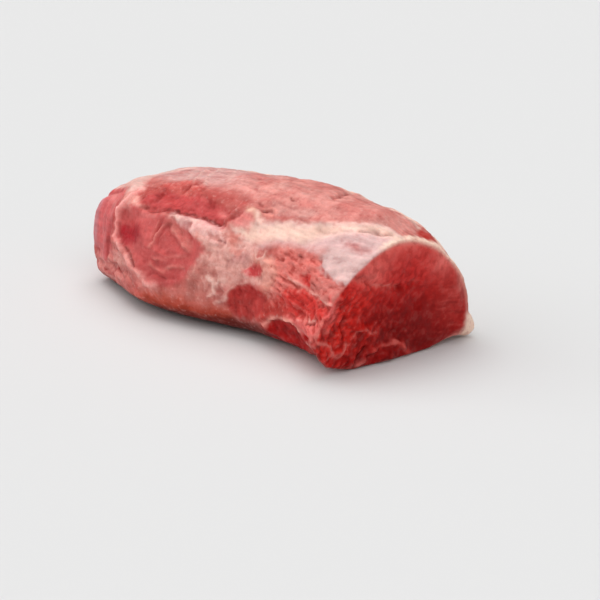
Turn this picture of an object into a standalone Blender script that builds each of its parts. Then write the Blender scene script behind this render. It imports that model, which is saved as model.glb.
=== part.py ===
"""Raw beef eye of round joint, one solid lying on its flat underside.

The long axis runs along X with the clean cut face at +X, the ragged flank
faces -Y and the joint rests on Z = 0. Sizes are millimetres unless named
otherwise; angles around the joint are degrees, 0 at the back, 90 on top and
180 at the front, taken around a level axis at AXIS_HEIGHT. At the skin one
degree is close to one millimetre.
"""
import math

import bpy
import numpy as np

MM = 0.001

# Lengthwise stations and the joint's reach at each of them.
STATION_X = (-132.0, -91.0, -43.0, 5.0, 53.0, 96.0, 124.5)
FRONT_REACH = (-43.0, -55.5, -66.5, -59.5, -49.5, -52.0, -65.0)
BACK_REACH = (59.0, 64.5, 66.5, 66.5, 66.5, 67.5, 51.0)
TOP_HEIGHT = (63.0, 79.0, 84.5, 90.0, 90.0, 86.5, 72.5)
RIDGE_Y = (1.0, 1.0, 0.0, 1.5, 3.0, -1.0, -7.5)

# Section shape at the far end and at the cut, as superellipse exponents.
WIDEST_Z_FAR, WIDEST_Z_CUT = 23.4, 21.8
FRONT_ROUND_FAR, FRONT_ROUND_CUT = 3.04, 1.52
BACK_ROUND_FAR, BACK_ROUND_CUT = 2.90, 1.70
UNDER_ROUND_FAR, UNDER_ROUND_CUT = 3.05, 2.30
BLEND_POWER = 1.5
SAG_DEPTH = 2.2

# The two ends.
FAR_X = -134.7
CUT_X = 122.0
FAR_ROUNDING, FAR_ROUND_POWER = 13.9, 2.57
CUT_ROUNDING, CUT_ROUND_POWER = 3.2, 2.2
END_CENTRE_HEIGHT = 0.429
CUT_YAW_SLOPE, CUT_LEAN_SLOPE = 0.1234, 0.0788
CUT_YAW_PIVOT_Y = -42.1
CUT_BLEND_START_X = 48.0

AXIS_HEIGHT = 38.3
AROUND_STEPS = 300
LENGTH_STEPS = 250
FACE_RINGS = 44
TRIANGLE_TARGET = 8600
RELIEF_FADE_LOW, RELIEF_FADE_HIGH = 1.5, 9.0
SETTLED_HEIGHT = 0.45

# Sunken areas of the skin: outline in skin coordinates, depth, softness of
# the edge. Each outline is the seam or rim that can be followed on the meat.
HEART = ((-79, 158), (-71, 152), (-55, 151), (-30, 152), (-10, 153), (2, 158), (8, 165),
         (5, 174), (0, 182), (-10, 189), (-22, 191), (-34, 188), (-44, 184), (-57, 181),
         (-66, 176), (-77, 175))
SEAM_HOLLOW = ((-54, 147), (-49, 135), (-44, 122), (-30, 124), (-12, 129), (14, 130),
               (21, 134), (18, 144), (0, 144), (-25, 146))
SHANK_SPOT = ((31, 190), (36, 184), (46, 181), (61, 183), (62, 195), (56, 205), (44, 208),
              (34, 204))
LOWER_LOBE = ((58, 202), (66, 197), (78, 195), (92, 194), (106, 196), (120, 199), (122, 210),
              (96, 214), (70, 212))
SILVER_BAND = ((32, 138), (46, 131), (62, 128), (80, 126), (96, 119), (110, 108), (124, 98),
               (130, 112), (128, 135), (122, 150), (104, 154), (94, 145), (72, 146), (46, 151),
               (34, 148))
SUNKEN = (
    (HEART, 3.1, 4.5),
    (SEAM_HOLLOW, 3.0, 5.5),
    (SHANK_SPOT, 1.7, 3.5),
    (LOWER_LOBE, 2.6, 4.0),
    (SILVER_BAND, 0.9, 4.0),
)

# Creases (negative height) and rims (positive height) that follow a path:
# path in skin coordinates, half width, height.
LINES = (
    (((-54, 149), (-40, 148.5), (-20, 146), (-8, 144.5), (5, 145), (18, 145.5)), 2.3, -3.8),
    (((-32, 150.5), (-12, 149.5), (6, 149.5), (22, 150.5)), 3.0, 1.3),
    (((-84, 133), (-80, 144), (-79, 152), (-85, 160), (-86, 169), (-80, 177)), 3.6, 1.6),
    (((-80, 177), (-66, 179), (-57, 184), (-46, 187), (-36, 192), (-22, 195)), 3.0, 1.3),
    (((-61, 178.5), (-55, 181), (-49, 183)), 1.8, -1.8),
    (((-126, 147), (-112, 142), (-96, 139.5)), 3.2, -1.6),
    (((-90, 166), (-92, 178), (-96, 193)), 3.2, -1.9),
    (((-107, 148), (-109, 165), (-106, 186)), 4.0, -0.9),
    (((-124, 207), (-106, 201), (-88, 197), (-71, 190), (-57, 189)), 2.4, -1.7),
    (((-112, 208), (-94, 203), (-74, 199)), 3.0, 0.9),
    (((-121, 197), (-112, 194), (-104, 190)), 2.6, -1.4),
    (((-60, 78), (-52, 90), (-42, 106), (-34, 119)), 3.0, 0.9),
    (((-67, 82), (-59, 96), (-50, 111)), 2.6, -0.7),
    (((-100, 92), (-84, 106), (-66, 122)), 5.0, 0.8),
    (((55, 56), (60, 66), (68, 77), (72, 86), (73, 94)), 2.4, -1.3),
    (((24, 130), (20, 137), (17, 146)), 2.0, 1.2),
    (((18, 130), (15, 138)), 1.6, -0.9),
    (((25, 134), (22, 141)), 1.6, -1.0),
    (((24, 128), (30, 125), (36, 129), (42, 137)), 2.6, 1.3),
    (((40, 127), (47, 124)), 1.4, -1.7),
    (((40, 128), (58, 124), (78, 122), (97, 115), (112, 104), (126, 95)), 3.0, 0.9),
    (((63, 162), (61, 170), (56, 177)), 3.2, 1.2),
    (((55, 202), (64, 197), (75, 193), (88, 191), (97, 194)), 2.4, 1.5),
    (((98, 192), (112, 190), (122, 192)), 3.0, 1.1),
    (((103, 188.5), (110, 187), (117, 185)), 1.6, -1.9),
    (((98, 165), (112, 168), (126, 171)), 3.4, 1.2),
    (((82, 163), (98, 170), (112, 175), (126, 178)), 2.4, -1.3),
    (((66, 176), (84, 178), (104, 182)), 2.6, 0.9),
    (((62, 183), (84, 186), (104, 184)), 2.4, -0.9),
    (((64, 154), (76, 151), (88, 150)), 2.6, -1.0),
    (((96, 146), (101, 154), (112, 159)), 2.4, -0.9),
    (((116, 110), (123, 101)), 2.2, -1.0),
    (((0, 153), (8, 163), (12, 174), (4, 186)), 3.2, 1.0),
    (((20, 184), (19, 192), (26, 196)), 2.6, -0.9),
    (((-34, 152), (-32, 162), (-36, 172)), 1.8, -0.8),
    (((-27, 153), (-25, 162), (-29, 171)), 1.8, 0.8),
    (((-30, 187), (-20, 184.5), (-8, 186)), 2.0, 0.8),
    (((-118, 40), (-80, 24), (-30, 20), (20, 30), (70, 22), (108, 34)), 3.0, -2.0),
    (((-112, 46), (-78, 31), (-30, 27), (20, 37), (70, 29)), 5.0, 1.0),
    (((-60, -6), (-10, 6), (50, 0), (100, -10)), 4.0, -1.3),
    (((-100, 60), (-60, 56), (-26, 60)), 4.0, -0.9),
    (((64, 46), (84, 52), (104, 50)), 3.2, -1.1),
)

# Dimples and knobs: place in skin coordinates, half sizes, height.
SPOTS = (
    ((-67, 165), (9.0, 6.5), -2.8),
    ((-35, 138), (15.0, 7.0), -1.2),
    ((2, 137), (13.0, 6.0), -1.3),
    ((-80, 137), (6.0, 6.0), 1.6),
    ((-116, 195), (4.0, 3.5), -1.8),
    ((-100, 160), (14.0, 18.0), -1.0),
    ((2, 73), (15.0, 13.0), -2.0),
    ((32, 68), (14.0, 12.0), 1.0),
    ((78, 66), (17.0, 11.0), -1.6),
    ((8, 94), (3.6, 3.2), -1.8),
    ((22, 111), (3.4, 3.0), -1.1),
    ((31, 129), (5.5, 4.5), 1.2),
    ((47, 168), (5.5, 5.0), -1.7),
    ((92, 162), (5.0, 4.5), -1.3),
    ((121, 58), (5.0, 7.0), -1.8),
    ((112, 146), (11.0, 9.0), 1.2),
    ((10, 178), (16.0, 12.0), 0.8),
    ((-52, 200), (20.0, 6.0), 1.1),
    ((122, 208), (7.0, 8.0), 2.6),
    ((-20, 100), (18.0, 14.0), 0.9),
    ((45, 100), (20.0, 14.0), 0.8),
    ((100, 90), (14.0, 12.0), 0.9),
    ((-40, 12), (26.0, 14.0), 1.3),
    ((34, 10), (24.0, 14.0), 1.1),
    ((88, 8), (15.0, 14.0), -1.4),
    ((-20, 60), (13.0, 13.0), -2.6),
    ((-101, 90), (15.0, 26.0), -2.4),
    ((126, -27), (6.0, 6.5), 12.5),
    ((-98, 8), (15.0, 16.0), -1.2),
)

# Relief of the cut face, in its own y and z: path, half width, height.
FACE_LINES = (
    (((-37, 58), (-20, 51), (-5, 47), (8, 46)), 1.8, -1.3),
    (((-24, 9), (-15, 12.5), (-5, 12.5), (1, 8), (8, 2)), 1.8, 1.5),
    (((-63, 22), (-57, 22), (-50, 16), (-46, 14), (-43, 18)), 1.6, 1.3),
    (((-53, 28), (-47, 24)), 1.6, 1.2),
    (((-57, 38), (-50, 36), (-44, 39)), 1.8, 1.0),
    (((-45, 29), (-41, 36), (-35, 41)), 2.0, -1.1),
    (((-50, 44), (-42, 33), (-41, 20)), 2.4, -1.2),
    (((-39, 24), (-30, 26), (-22, 23)), 2.2, 1.0),
    (((-27, 12), (-33, 7), (-34, 0)), 1.8, -1.4),
    (((12, 20), (26, 17), (42, 12)), 2.4, -0.7),
    (((20, 34), (34, 31), (48, 26)), 2.2, 0.6),
    (((14, 55), (26, 49), (38, 42)), 2.4, 0.5),
)
FACE_SPOTS = (
    ((-9, 5), (12.0, 7.0), 3.4),
    ((-40, 4), (11.0, 6.0), 3.0),
    ((-30, 52), (12.0, 6.0), 1.2),
    ((2, 34), (24.0, 16.0), -1.6),
    ((-52, 32), (8.0, 12.0), -0.9),
    ((20, 62), (16.0, 8.0), 0.8),
    ((40, 24), (12.0, 14.0), 0.9),
    ((-12, 66), (14.0, 6.0), 0.7),
)

# Fat left on the lower right of the cut face, as a low tongue.
FAT_TONGUE = ((36, 3.5), (44, 5.5), (51, 8.5))
FAT_TONGUE_HALF_WIDTH, FAT_TONGUE_HEIGHT = 3.0, 3.6

# Loose unevenness of a soft piece: wavelength, height, seed.
WAVES = ((70.0, 0.45, 11), (34.0, 0.35, 12), (17.0, 0.22, 13))
FIBRE_ZONE = ((62, 150), (92, 146), (126, 158), (128, 192), (96, 190), (64, 184))
FIBRE_STEP_DEG, FIBRE_HEIGHT = 5.2, 0.75


def remove_everything():
    for thing in list(bpy.data.objects):
        bpy.data.objects.remove(thing)


def smooth_curve(knots, values, at):
    """Cubic through the knots without overshoot between them."""
    knots = np.asarray(knots, float)
    values = np.asarray(values, float)
    step = np.diff(knots)
    rise = np.diff(values) / step
    slope = np.empty_like(values)
    slope[0], slope[-1] = rise[0], rise[-1]
    for i in range(1, len(knots) - 1):
        same_way = rise[i - 1] * rise[i] > 0
        slope[i] = 2.0 / (1.0 / rise[i - 1] + 1.0 / rise[i]) if same_way else 0.0
    i = np.clip(np.searchsorted(knots, at) - 1, 0, len(step) - 1)
    t = (at - knots[i]) / step[i]
    inside = np.clip(t, 0.0, 1.0)
    near, far = values[i], values[i + 1]
    cubic = ((2 * inside**3 - 3 * inside**2 + 1) * near
             + (inside**3 - 2 * inside**2 + inside) * step[i] * slope[i]
             + (-2 * inside**3 + 3 * inside**2) * far
             + (inside**3 - inside**2) * step[i] * slope[i + 1])
    beyond = np.where(t > 1, (t - 1) * step[i] * slope[i + 1], 0.0)
    before = np.where(t < 0, t * step[i] * slope[i], 0.0)
    return cubic + beyond + before


def signed_power(value, power):
    return np.sign(value) * np.abs(value) ** power


def smoothstep(low, high, value):
    t = np.clip((value - low) / (high - low), 0.0, 1.0)
    return t * t * (3.0 - 2.0 * t)


def line_distance(a, b, path):
    """Distance of the points (a, b) from a path of straight pieces."""
    nearest = np.full(a.shape, np.inf)
    for (a0, b0), (a1, b1) in zip(path[:-1], path[1:]):
        length2 = (a1 - a0) ** 2 + (b1 - b0) ** 2
        t = np.clip(((a - a0) * (a1 - a0) + (b - b0) * (b1 - b0)) / length2, 0.0, 1.0)
        nearest = np.minimum(nearest, np.hypot(a - a0 - t * (a1 - a0), b - b0 - t * (b1 - b0)))
    return nearest


def within(a, b, outline, softness):
    """One inside a closed outline, falling to nought just outside it."""
    closed = tuple(outline) + (outline[0],)
    inside = np.zeros(a.shape, bool)
    for (a0, b0), (a1, b1) in zip(closed[:-1], closed[1:]):
        crosses = (b0 > b) != (b1 > b)
        rise = b1 - b0 if b1 != b0 else 1e-9
        inside ^= crosses & (a < (a1 - a0) * (b - b0) / rise + a0)
    distance = line_distance(a, b, closed)
    signed = np.where(inside, distance, -distance)
    return smoothstep(-0.3 * softness, softness, signed)


def line_relief(a, b, lines):
    total = np.zeros(a.shape)
    for path, half_width, height in lines:
        total += height * np.exp(-(line_distance(a, b, path) / half_width) ** 2)
    return total


def spot_relief(a, b, spots):
    total = np.zeros(a.shape)
    for (a0, b0), (half_a, half_b), height in spots:
        total += height * np.exp(-((a - a0) / half_a) ** 2 - ((b - b0) / half_b) ** 2)
    return total


def waves(points, wavelength, height, seed):
    """Soft lumps made of a few plane waves in seeded directions."""
    draw = np.random.default_rng(seed)
    total = np.zeros(len(points))
    count = 7
    for _ in range(count):
        direction = draw.normal(size=3)
        direction /= np.linalg.norm(direction)
        pitch = wavelength * draw.uniform(0.75, 1.3)
        phase = draw.uniform(0.0, 2.0 * math.pi)
        total += np.sin(points @ direction * 2.0 * math.pi / pitch + phase)
    return height * total / math.sqrt(count / 2.0)


def section_ring(x, angles):
    """One closed section of the joint across X, before the ends turn."""
    blend = np.clip((x - STATION_X[0]) / (STATION_X[-1] - STATION_X[0]), 0.0, 1.0) ** BLEND_POWER

    def mixed(far, cut):
        return far + (cut - far) * blend

    front = smooth_curve(STATION_X, FRONT_REACH, x)
    back = smooth_curve(STATION_X, BACK_REACH, x)
    top = smooth_curve(STATION_X, TOP_HEIGHT, x)
    ridge = smooth_curve(STATION_X, RIDGE_Y, x)
    widest = mixed(WIDEST_Z_FAR, WIDEST_Z_CUT)
    across, upward = np.cos(angles), np.sin(angles)
    is_back, is_upper = across >= 0, upward >= 0
    reach = np.where(is_back, back - ridge, ridge - front)
    roundness = np.where(is_back, mixed(BACK_ROUND_FAR, BACK_ROUND_CUT),
                         mixed(FRONT_ROUND_FAR, FRONT_ROUND_CUT))
    roundness = np.where(is_upper, roundness, mixed(UNDER_ROUND_FAR, UNDER_ROUND_CUT))
    rise = np.where(is_upper, top - widest, widest + SAG_DEPTH)
    y = ridge + reach * signed_power(across, 2.0 / roundness)
    z = widest + rise * signed_power(upward, 2.0 / roundness)
    centre_y, centre_z = 0.5 * (front + back), END_CENTRE_HEIGHT * top
    shrink = 1.0
    from_far, from_cut = x - FAR_X, CUT_X - x
    if from_far < FAR_ROUNDING:
        drop = (FAR_ROUNDING - from_far) / FAR_ROUNDING
        shrink = max((1.0 - drop**FAR_ROUND_POWER), 0.0) ** (1.0 / FAR_ROUND_POWER)
    if from_cut < CUT_ROUNDING:
        drop = (CUT_ROUNDING - from_cut) / CUT_ROUNDING
        edge = max((1.0 - drop**CUT_ROUND_POWER), 0.0) ** (1.0 / CUT_ROUND_POWER)
        shrink = 1.0 - (1.0 - edge) * CUT_ROUNDING / 60.0
    shrink = max(shrink, 0.03)
    y = centre_y + (y - centre_y) * shrink
    z = centre_z + (z - centre_z) * shrink
    return y, z


def turn_cut(x, y, z):
    """Swing and lean the sections near the cut, as the knife did."""
    share = np.clip((x - CUT_BLEND_START_X) / (CUT_X - CUT_BLEND_START_X), 0.0, 1.0) ** 1.5
    return x + share * (CUT_YAW_SLOPE * (y - CUT_YAW_PIVOT_Y) + CUT_LEAN_SLOPE * z)


def plain_grid():
    """Rings of points along the joint, then rings closing the cut face."""
    angles = np.linspace(0.0, 2.0 * math.pi, AROUND_STEPS, endpoint=False)
    far = np.linspace(0.0, 1.0, 26, endpoint=False) ** 2.0 * FAR_ROUNDING * 1.3 + FAR_X
    body = np.linspace(far[-1] + 0.9, CUT_X - CUT_ROUNDING, LENGTH_STEPS, endpoint=False)
    edge = CUT_X - CUT_ROUNDING * np.linspace(1.0, 0.0, 9) ** 2.0
    rings = []
    for x in np.concatenate([far, body, edge]):
        y, z = section_ring(x, angles)
        rings.append(np.stack([turn_cut(np.full(y.shape, x), y, z), y, z], axis=-1))
    rim = rings[-1]
    centre_y, centre_z = rim[:, 1].mean(), 0.5 * (rim[:, 2].min() + rim[:, 2].max())
    for share in np.linspace(1.0, 0.0, FACE_RINGS, endpoint=False)[1:]:
        y = centre_y + (rim[:, 1] - centre_y) * share
        z = centre_z + (rim[:, 2] - centre_z) * share
        rings.append(np.stack([turn_cut(np.full(y.shape, CUT_X), y, z), y, z], axis=-1))
    return np.array(rings)


def grid_normals(grid):
    along = np.gradient(grid, axis=0)
    around = np.roll(grid, -1, axis=1) - np.roll(grid, 1, axis=1)
    normal = np.cross(around, along)
    return normal / np.maximum(np.linalg.norm(normal, axis=-1, keepdims=True), 1e-9)


def skin_relief(points):
    x = points[:, 0]
    angle = np.degrees(np.arctan2(points[:, 2] - AXIS_HEIGHT, points[:, 1]))
    angle = np.where(angle < -110.0, angle + 360.0, angle)
    total = line_relief(x, angle, LINES) + spot_relief(x, angle, SPOTS)
    for outline, depth, softness in SUNKEN:
        total -= depth * within(x, angle, outline, softness)
    zone = within(x, angle, FIBRE_ZONE, 8.0)
    slant = angle - 0.16 * x + 2.2 * np.sin(x / 9.0)
    total += zone * FIBRE_HEIGHT * np.sin(slant * 2.0 * math.pi / FIBRE_STEP_DEG)
    for wavelength, height, seed in WAVES:
        total += waves(points, wavelength, height, seed)
    return total


def face_relief(points):
    y, z = points[:, 1], points[:, 2]
    total = line_relief(y, z, FACE_LINES) + spot_relief(y, z, FACE_SPOTS)
    tongue = line_distance(y, z, FAT_TONGUE) / FAT_TONGUE_HALF_WIDTH
    total += FAT_TONGUE_HEIGHT * np.exp(-tongue**4)
    total += waves(points, 26.0, 0.5, 21) + waves(points, 11.0, 0.35, 22)
    return total


def shaped_grid():
    grid = plain_grid()
    normals = grid_normals(grid)
    skin_rings = len(grid) - (FACE_RINGS - 1)
    face_share = np.zeros(len(grid))
    face_share[skin_rings:] = smoothstep(0, 4, np.arange(len(grid) - skin_rings) + 1.0)
    flat = grid.reshape(-1, 3)
    height = np.maximum(flat[:, 2], 0.0)
    keep = smoothstep(RELIEF_FADE_LOW, RELIEF_FADE_HIGH, height)
    share = np.repeat(face_share, AROUND_STEPS)
    skin = skin_relief(flat) * keep * (1.0 - share)
    face = face_relief(flat) * share * smoothstep(-1.0, 3.0, height)
    outward = np.array([1.0, -CUT_YAW_SLOPE, -CUT_LEAN_SLOPE])
    outward /= np.linalg.norm(outward)
    moved = flat + normals.reshape(-1, 3) * skin[:, None] + outward * face[:, None]
    moved[:, 2] = np.maximum(moved[:, 2], 0.0)
    return moved.reshape(grid.shape)


def closed_mesh(name, grid):
    rings, count = grid.shape[:2]
    points = grid.reshape(-1, 3)
    poles = np.array([grid[0].mean(axis=0), grid[-1].mean(axis=0)])
    first, last = len(points), len(points) + 1
    points = np.vstack([points, poles])
    centre = 0.5 * (points.min(axis=0) + points.max(axis=0))
    points[:, :2] -= centre[:2]
    faces = []
    for i in range(rings - 1):
        for j in range(count):
            k = (j + 1) % count
            faces.append((i * count + j, i * count + k, (i + 1) * count + k, (i + 1) * count + j))
    end = (rings - 1) * count
    for j in range(count):
        k = (j + 1) % count
        faces.append((first, k, j))
        faces.append((last, end + j, end + k))
    mesh = bpy.data.meshes.new(name)
    mesh.from_pydata((points * MM).tolist(), [], faces)
    mesh.validate()
    mesh.update()
    return mesh


def settle(mesh):
    """Press the lowest points flat on the resting surface."""
    for vertex in mesh.vertices:
        if vertex.co.z < SETTLED_HEIGHT * MM:
            vertex.co.z = 0.0
    mesh.update()


def meat_material():
    material = bpy.data.materials.new("raw_beef")
    material.use_nodes = True
    shader = material.node_tree.nodes["Principled BSDF"]
    shader.inputs["Base Color"].default_value = (0.42, 0.10, 0.09, 1.0)
    shader.inputs["Roughness"].default_value = 0.42
    return material


def build():
    remove_everything()
    grid = shaped_grid()
    joint = bpy.data.objects.new("eye_of_round", closed_mesh("eye_of_round", grid))
    bpy.context.scene.collection.objects.link(joint)
    joint.data.materials.append(meat_material())
    bpy.context.view_layer.objects.active = joint
    joint.select_set(True)
    triangles = sum(len(face.vertices) - 2 for face in joint.data.polygons)
    fewer = joint.modifiers.new("fewer", "DECIMATE")
    fewer.ratio = TRIANGLE_TARGET / triangles
    bpy.ops.object.modifier_apply(modifier=fewer.name)
    settle(joint.data)
    bpy.ops.object.shade_smooth()
    return joint


build()
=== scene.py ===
# %% [markdown]
# # A raw beef eye of round, modelled in Blender
#
# The joint is one long muscle. It was trimmed by hand, so its skin is a patchwork: pink
# muscle under a thin film, bare red hollows where a neighbouring muscle was pulled off,
# cream fat and white silverskin along the seams, and one clean crimson cut at the end.
# The CAD frame already has the big forms. This lesson adds the fine skin, the ragged
# edges, the colours and the wet shine.

# %% Load the fixed frame
import math

import bpy
import numpy as np
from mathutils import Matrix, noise


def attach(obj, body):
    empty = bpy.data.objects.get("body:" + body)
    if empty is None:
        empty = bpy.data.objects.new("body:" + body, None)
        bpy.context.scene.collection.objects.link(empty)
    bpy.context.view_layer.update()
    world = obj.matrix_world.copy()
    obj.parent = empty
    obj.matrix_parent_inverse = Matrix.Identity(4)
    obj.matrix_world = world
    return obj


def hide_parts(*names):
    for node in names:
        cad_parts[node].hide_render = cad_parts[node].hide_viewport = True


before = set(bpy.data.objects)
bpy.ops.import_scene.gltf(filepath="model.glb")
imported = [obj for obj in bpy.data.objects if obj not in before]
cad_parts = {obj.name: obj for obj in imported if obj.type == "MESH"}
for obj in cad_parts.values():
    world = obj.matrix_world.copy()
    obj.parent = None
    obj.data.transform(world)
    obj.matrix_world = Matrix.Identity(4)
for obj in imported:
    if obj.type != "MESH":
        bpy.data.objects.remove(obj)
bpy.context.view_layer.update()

MM = 0.001

# %% [markdown]
# ## A working copy of the joint
#
# The CAD node itself is left alone. A copy of it is merged, because its triangles come
# in loose, and then remeshed into small even squares about a millimetre wide. Even
# squares can be pushed and pulled anywhere like clay, which long CAD triangles can't.
# Sculpting by hand would start the same way, with Remesh in sculpt mode.

# %% Small helpers for operators
def deselect():
    if bpy.context.object and bpy.context.object.mode != "OBJECT":
        bpy.ops.object.mode_set(mode="OBJECT")
    bpy.ops.object.select_all(action="DESELECT")


def choose(piece):
    deselect()
    piece.select_set(True)
    bpy.context.view_layer.objects.active = piece
    return piece


def apply_modifier(piece, name, kind, **settings):
    choose(piece)
    modifier = piece.modifiers.new(name, kind)
    for setting, value in settings.items():
        setattr(modifier, setting, value)
    bpy.ops.object.modifier_apply(modifier=modifier.name)


def triangle_count(piece):
    return sum(len(face.vertices) - 2 for face in piece.data.polygons)


# %% Copy the node and give it an even skin
SKIN_SQUARE = 1.0 * MM
MERGE_DISTANCE = 0.001 * MM
FACET_SOFTENING = 10  # rounds of smoothing that take the CAD facets away

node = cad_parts["eye_of_round"]
choose(node)
bpy.ops.object.duplicate()
joint = bpy.context.object
joint.name = "beef_joint"
joint.data.name = "beef_joint"
bpy.ops.object.mode_set(mode="EDIT")
bpy.ops.mesh.select_all(action="SELECT")
bpy.ops.mesh.remove_doubles(threshold=MERGE_DISTANCE)
bpy.ops.object.mode_set(mode="OBJECT")
joint.data.materials.clear()
apply_modifier(joint, "rounder", "SUBSURF", levels=1, render_levels=1)
apply_modifier(joint, "even", "REMESH", mode="VOXEL", voxel_size=SKIN_SQUARE)
apply_modifier(joint, "soften", "SMOOTH", factor=0.5, iterations=FACET_SOFTENING)
print("even skin:", len(joint.data.vertices), "points,", triangle_count(joint), "triangles")

# %% [markdown]
# ## A map of the skin
#
# Every patch and crease is placed on a map of the skin. The map's first measure is the
# distance along the joint in millimetres, positive towards the cut. The second is the
# angle around it in degrees: 0 at the back, 90 on top, 180 at the front. At the skin one
# degree is about one millimetre, so shapes keep their proportions on the map.

# %% Read the skin's points and its map
MAP_SHIFT = np.array((0.71, 0.35, 0.0))  # from the frame's origin to the map's own
AXIS_HEIGHT = 38.3
MAP_SEAM = -110.0  # the map is slit open here, under the joint
CUT_PLANE = (127.2, 0.1234, 0.0788)  # x of the cut at the origin, its slope over y and over z


def skin_points(piece):
    flat = np.empty(len(piece.data.vertices) * 3, np.float32)
    piece.data.vertices.foreach_get("co", flat)
    return flat.reshape(-1, 3).astype(float) / MM + MAP_SHIFT


def skin_normals(piece):
    flat = np.empty(len(piece.data.vertices) * 3, np.float32)
    piece.data.vertex_normals.foreach_get("vector", flat)
    return flat.reshape(-1, 3).astype(float)


def put_points(piece, points):
    moved = (points - MAP_SHIFT) * MM
    moved[:, 2] = np.maximum(moved[:, 2], 0.0)
    piece.data.vertices.foreach_set("co", moved.astype(np.float32).ravel())
    piece.data.update()


def skin_map(points):
    angle = np.degrees(np.arctan2(points[:, 2] - AXIS_HEIGHT, points[:, 1]))
    angle = np.where(angle < MAP_SEAM, angle + 360.0, angle)
    behind_cut = CUT_PLANE[0] + CUT_PLANE[1] * points[:, 1] + CUT_PLANE[2] * points[:, 2]
    return points[:, 0], angle, behind_cut - points[:, 0]


def smoothstep(low, high, value):
    """Rise softly from 0 at low to 1 at high; low may be the larger of the two."""
    t = np.clip((value - low) / (high - low), 0.0, 1.0)
    return t * t * (3.0 - 2.0 * t)


points = skin_points(joint)
along, around, behind_cut = skin_map(points)
print("map reaches", along.min().round(1), "to", along.max().round(1), "mm along")

# %% [markdown]
# ## Spend the triangles where they show
#
# The joint is thinned to stay under 200,000 triangles. The underside and the smooth
# fat of the back need fewer than the torn flank, so a vertex group tells the Decimate
# modifier where it may thin the mesh. Sculptors do the same with a painted group.

# %% Thin the quiet parts
TRIANGLES_KEPT = 196000
GROUP_STEPS = 10
BACK_STARTS = (44.0, 20.0)  # degrees, from full detail to quiet
UNDERSIDE_STARTS = (206.0, 220.0)
CUT_KEEPS = (3.0, 9.0)  # millimetres behind the cut that stay fine

quiet = np.maximum(smoothstep(*BACK_STARTS, around), smoothstep(*UNDERSIDE_STARTS, around))
quiet *= smoothstep(*CUT_KEEPS, behind_cut)
group = joint.vertex_groups.new(name="quiet")
for step in range(GROUP_STEPS + 1):
    members = np.nonzero(np.round(quiet * GROUP_STEPS) == step)[0]
    group.add(members.tolist(), step / GROUP_STEPS, "REPLACE")
apply_modifier(joint, "thin", "DECIMATE", ratio=TRIANGLES_KEPT / triangle_count(joint),
               vertex_group="quiet", vertex_group_factor=0.3)
joint.vertex_groups.clear()
points = skin_points(joint)
normals = skin_normals(joint)
along, around, behind_cut = skin_map(points)
print("thinned to", triangle_count(joint), "triangles")

# %% [markdown]
# ## Soft lines, soft patches and noise
#
# A painter needs a brush, a stencil and a sponge. Here the brush is a stroke along a
# path, the stencil is an outline with a soft edge, and the sponge is seeded noise, so
# the joint comes out the same each time. All three work on the whole skin at once.

# %% Brush, stencil and sponge
SEED_STEP = 17.31


def line_distance(a, b, path):
    nearest = np.full(a.shape, np.inf)
    for (a0, b0), (a1, b1) in zip(path[:-1], path[1:]):
        length2 = (a1 - a0) ** 2 + (b1 - b0) ** 2
        t = np.clip(((a - a0) * (a1 - a0) + (b - b0) * (b1 - b0)) / length2, 0.0, 1.0)
        nearest = np.minimum(nearest, np.hypot(a - a0 - t * (a1 - a0), b - b0 - t * (b1 - b0)))
    return nearest


def signed_inside(a, b, outline):
    closed = tuple(outline) + (outline[0],)
    inside = np.zeros(a.shape, bool)
    for (a0, b0), (a1, b1) in zip(closed[:-1], closed[1:]):
        crosses = (b0 > b) != (b1 > b)
        rise = b1 - b0 if b1 != b0 else 1e-9
        inside ^= crosses & (a < (a1 - a0) * (b - b0) / rise + a0)
    distance = line_distance(a, b, closed)
    return np.where(inside, distance, -distance)


def patch(a, b, outline, softness):
    """The stencil: 1 inside the outline, 0 outside, with a soft edge."""
    return smoothstep(-softness, softness, signed_inside(a, b, outline))


def stroke(a, b, path, half_width):
    """The brush: 1 on the path, fading over the half width."""
    return np.exp(-(line_distance(a, b, path) / half_width) ** 2)


def spot(a, b, place, size):
    return np.exp(-((a - place[0]) / size[0]) ** 2 - ((b - place[1]) / size[1]) ** 2)


def clouds(places, pitch, seed, octaves=3):
    """Seeded fractal noise at an array of places: about nought, with a spread of one."""
    scaled = places / np.broadcast_to(np.asarray(pitch, float), (3,)) + seed * SEED_STEP
    read = noise.fractal
    values = np.array([read(p, 1.0, 2.0, octaves) for p in scaled.tolist()])
    return (values - values.mean()) / values.std()


def veins(cloud, width):
    """Thin winding lines, where a noise passes through nought."""
    return np.exp(-(cloud / width) ** 2)


WANDER, WANDER_PITCH = 0.7, 11.0
FRAY, FRAY_PITCH = 0.8, 3.2

wander_a = WANDER * clouds(points, WANDER_PITCH, 1)
wander_b = WANDER * clouds(points, WANDER_PITCH, 2)
fray_a = FRAY * clouds(points, FRAY_PITCH, 11, 2)
fray_b = FRAY * clouds(points, FRAY_PITCH, 12, 2)
print("noise wanders by up to", np.abs(wander_a).max().round(1), "mm")

# %% [markdown]
# ## Creases, rims and pits
#
# A butcher's hand leaves folds of film, torn rims of fat and slits between bundles of
# fibre. Each is one line or spot on the map with a width and a height. The lines wander
# a little with the noise and swell and fade along their way, so that none of them looks
# drawn with a ruler or laid on like a rope.

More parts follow.
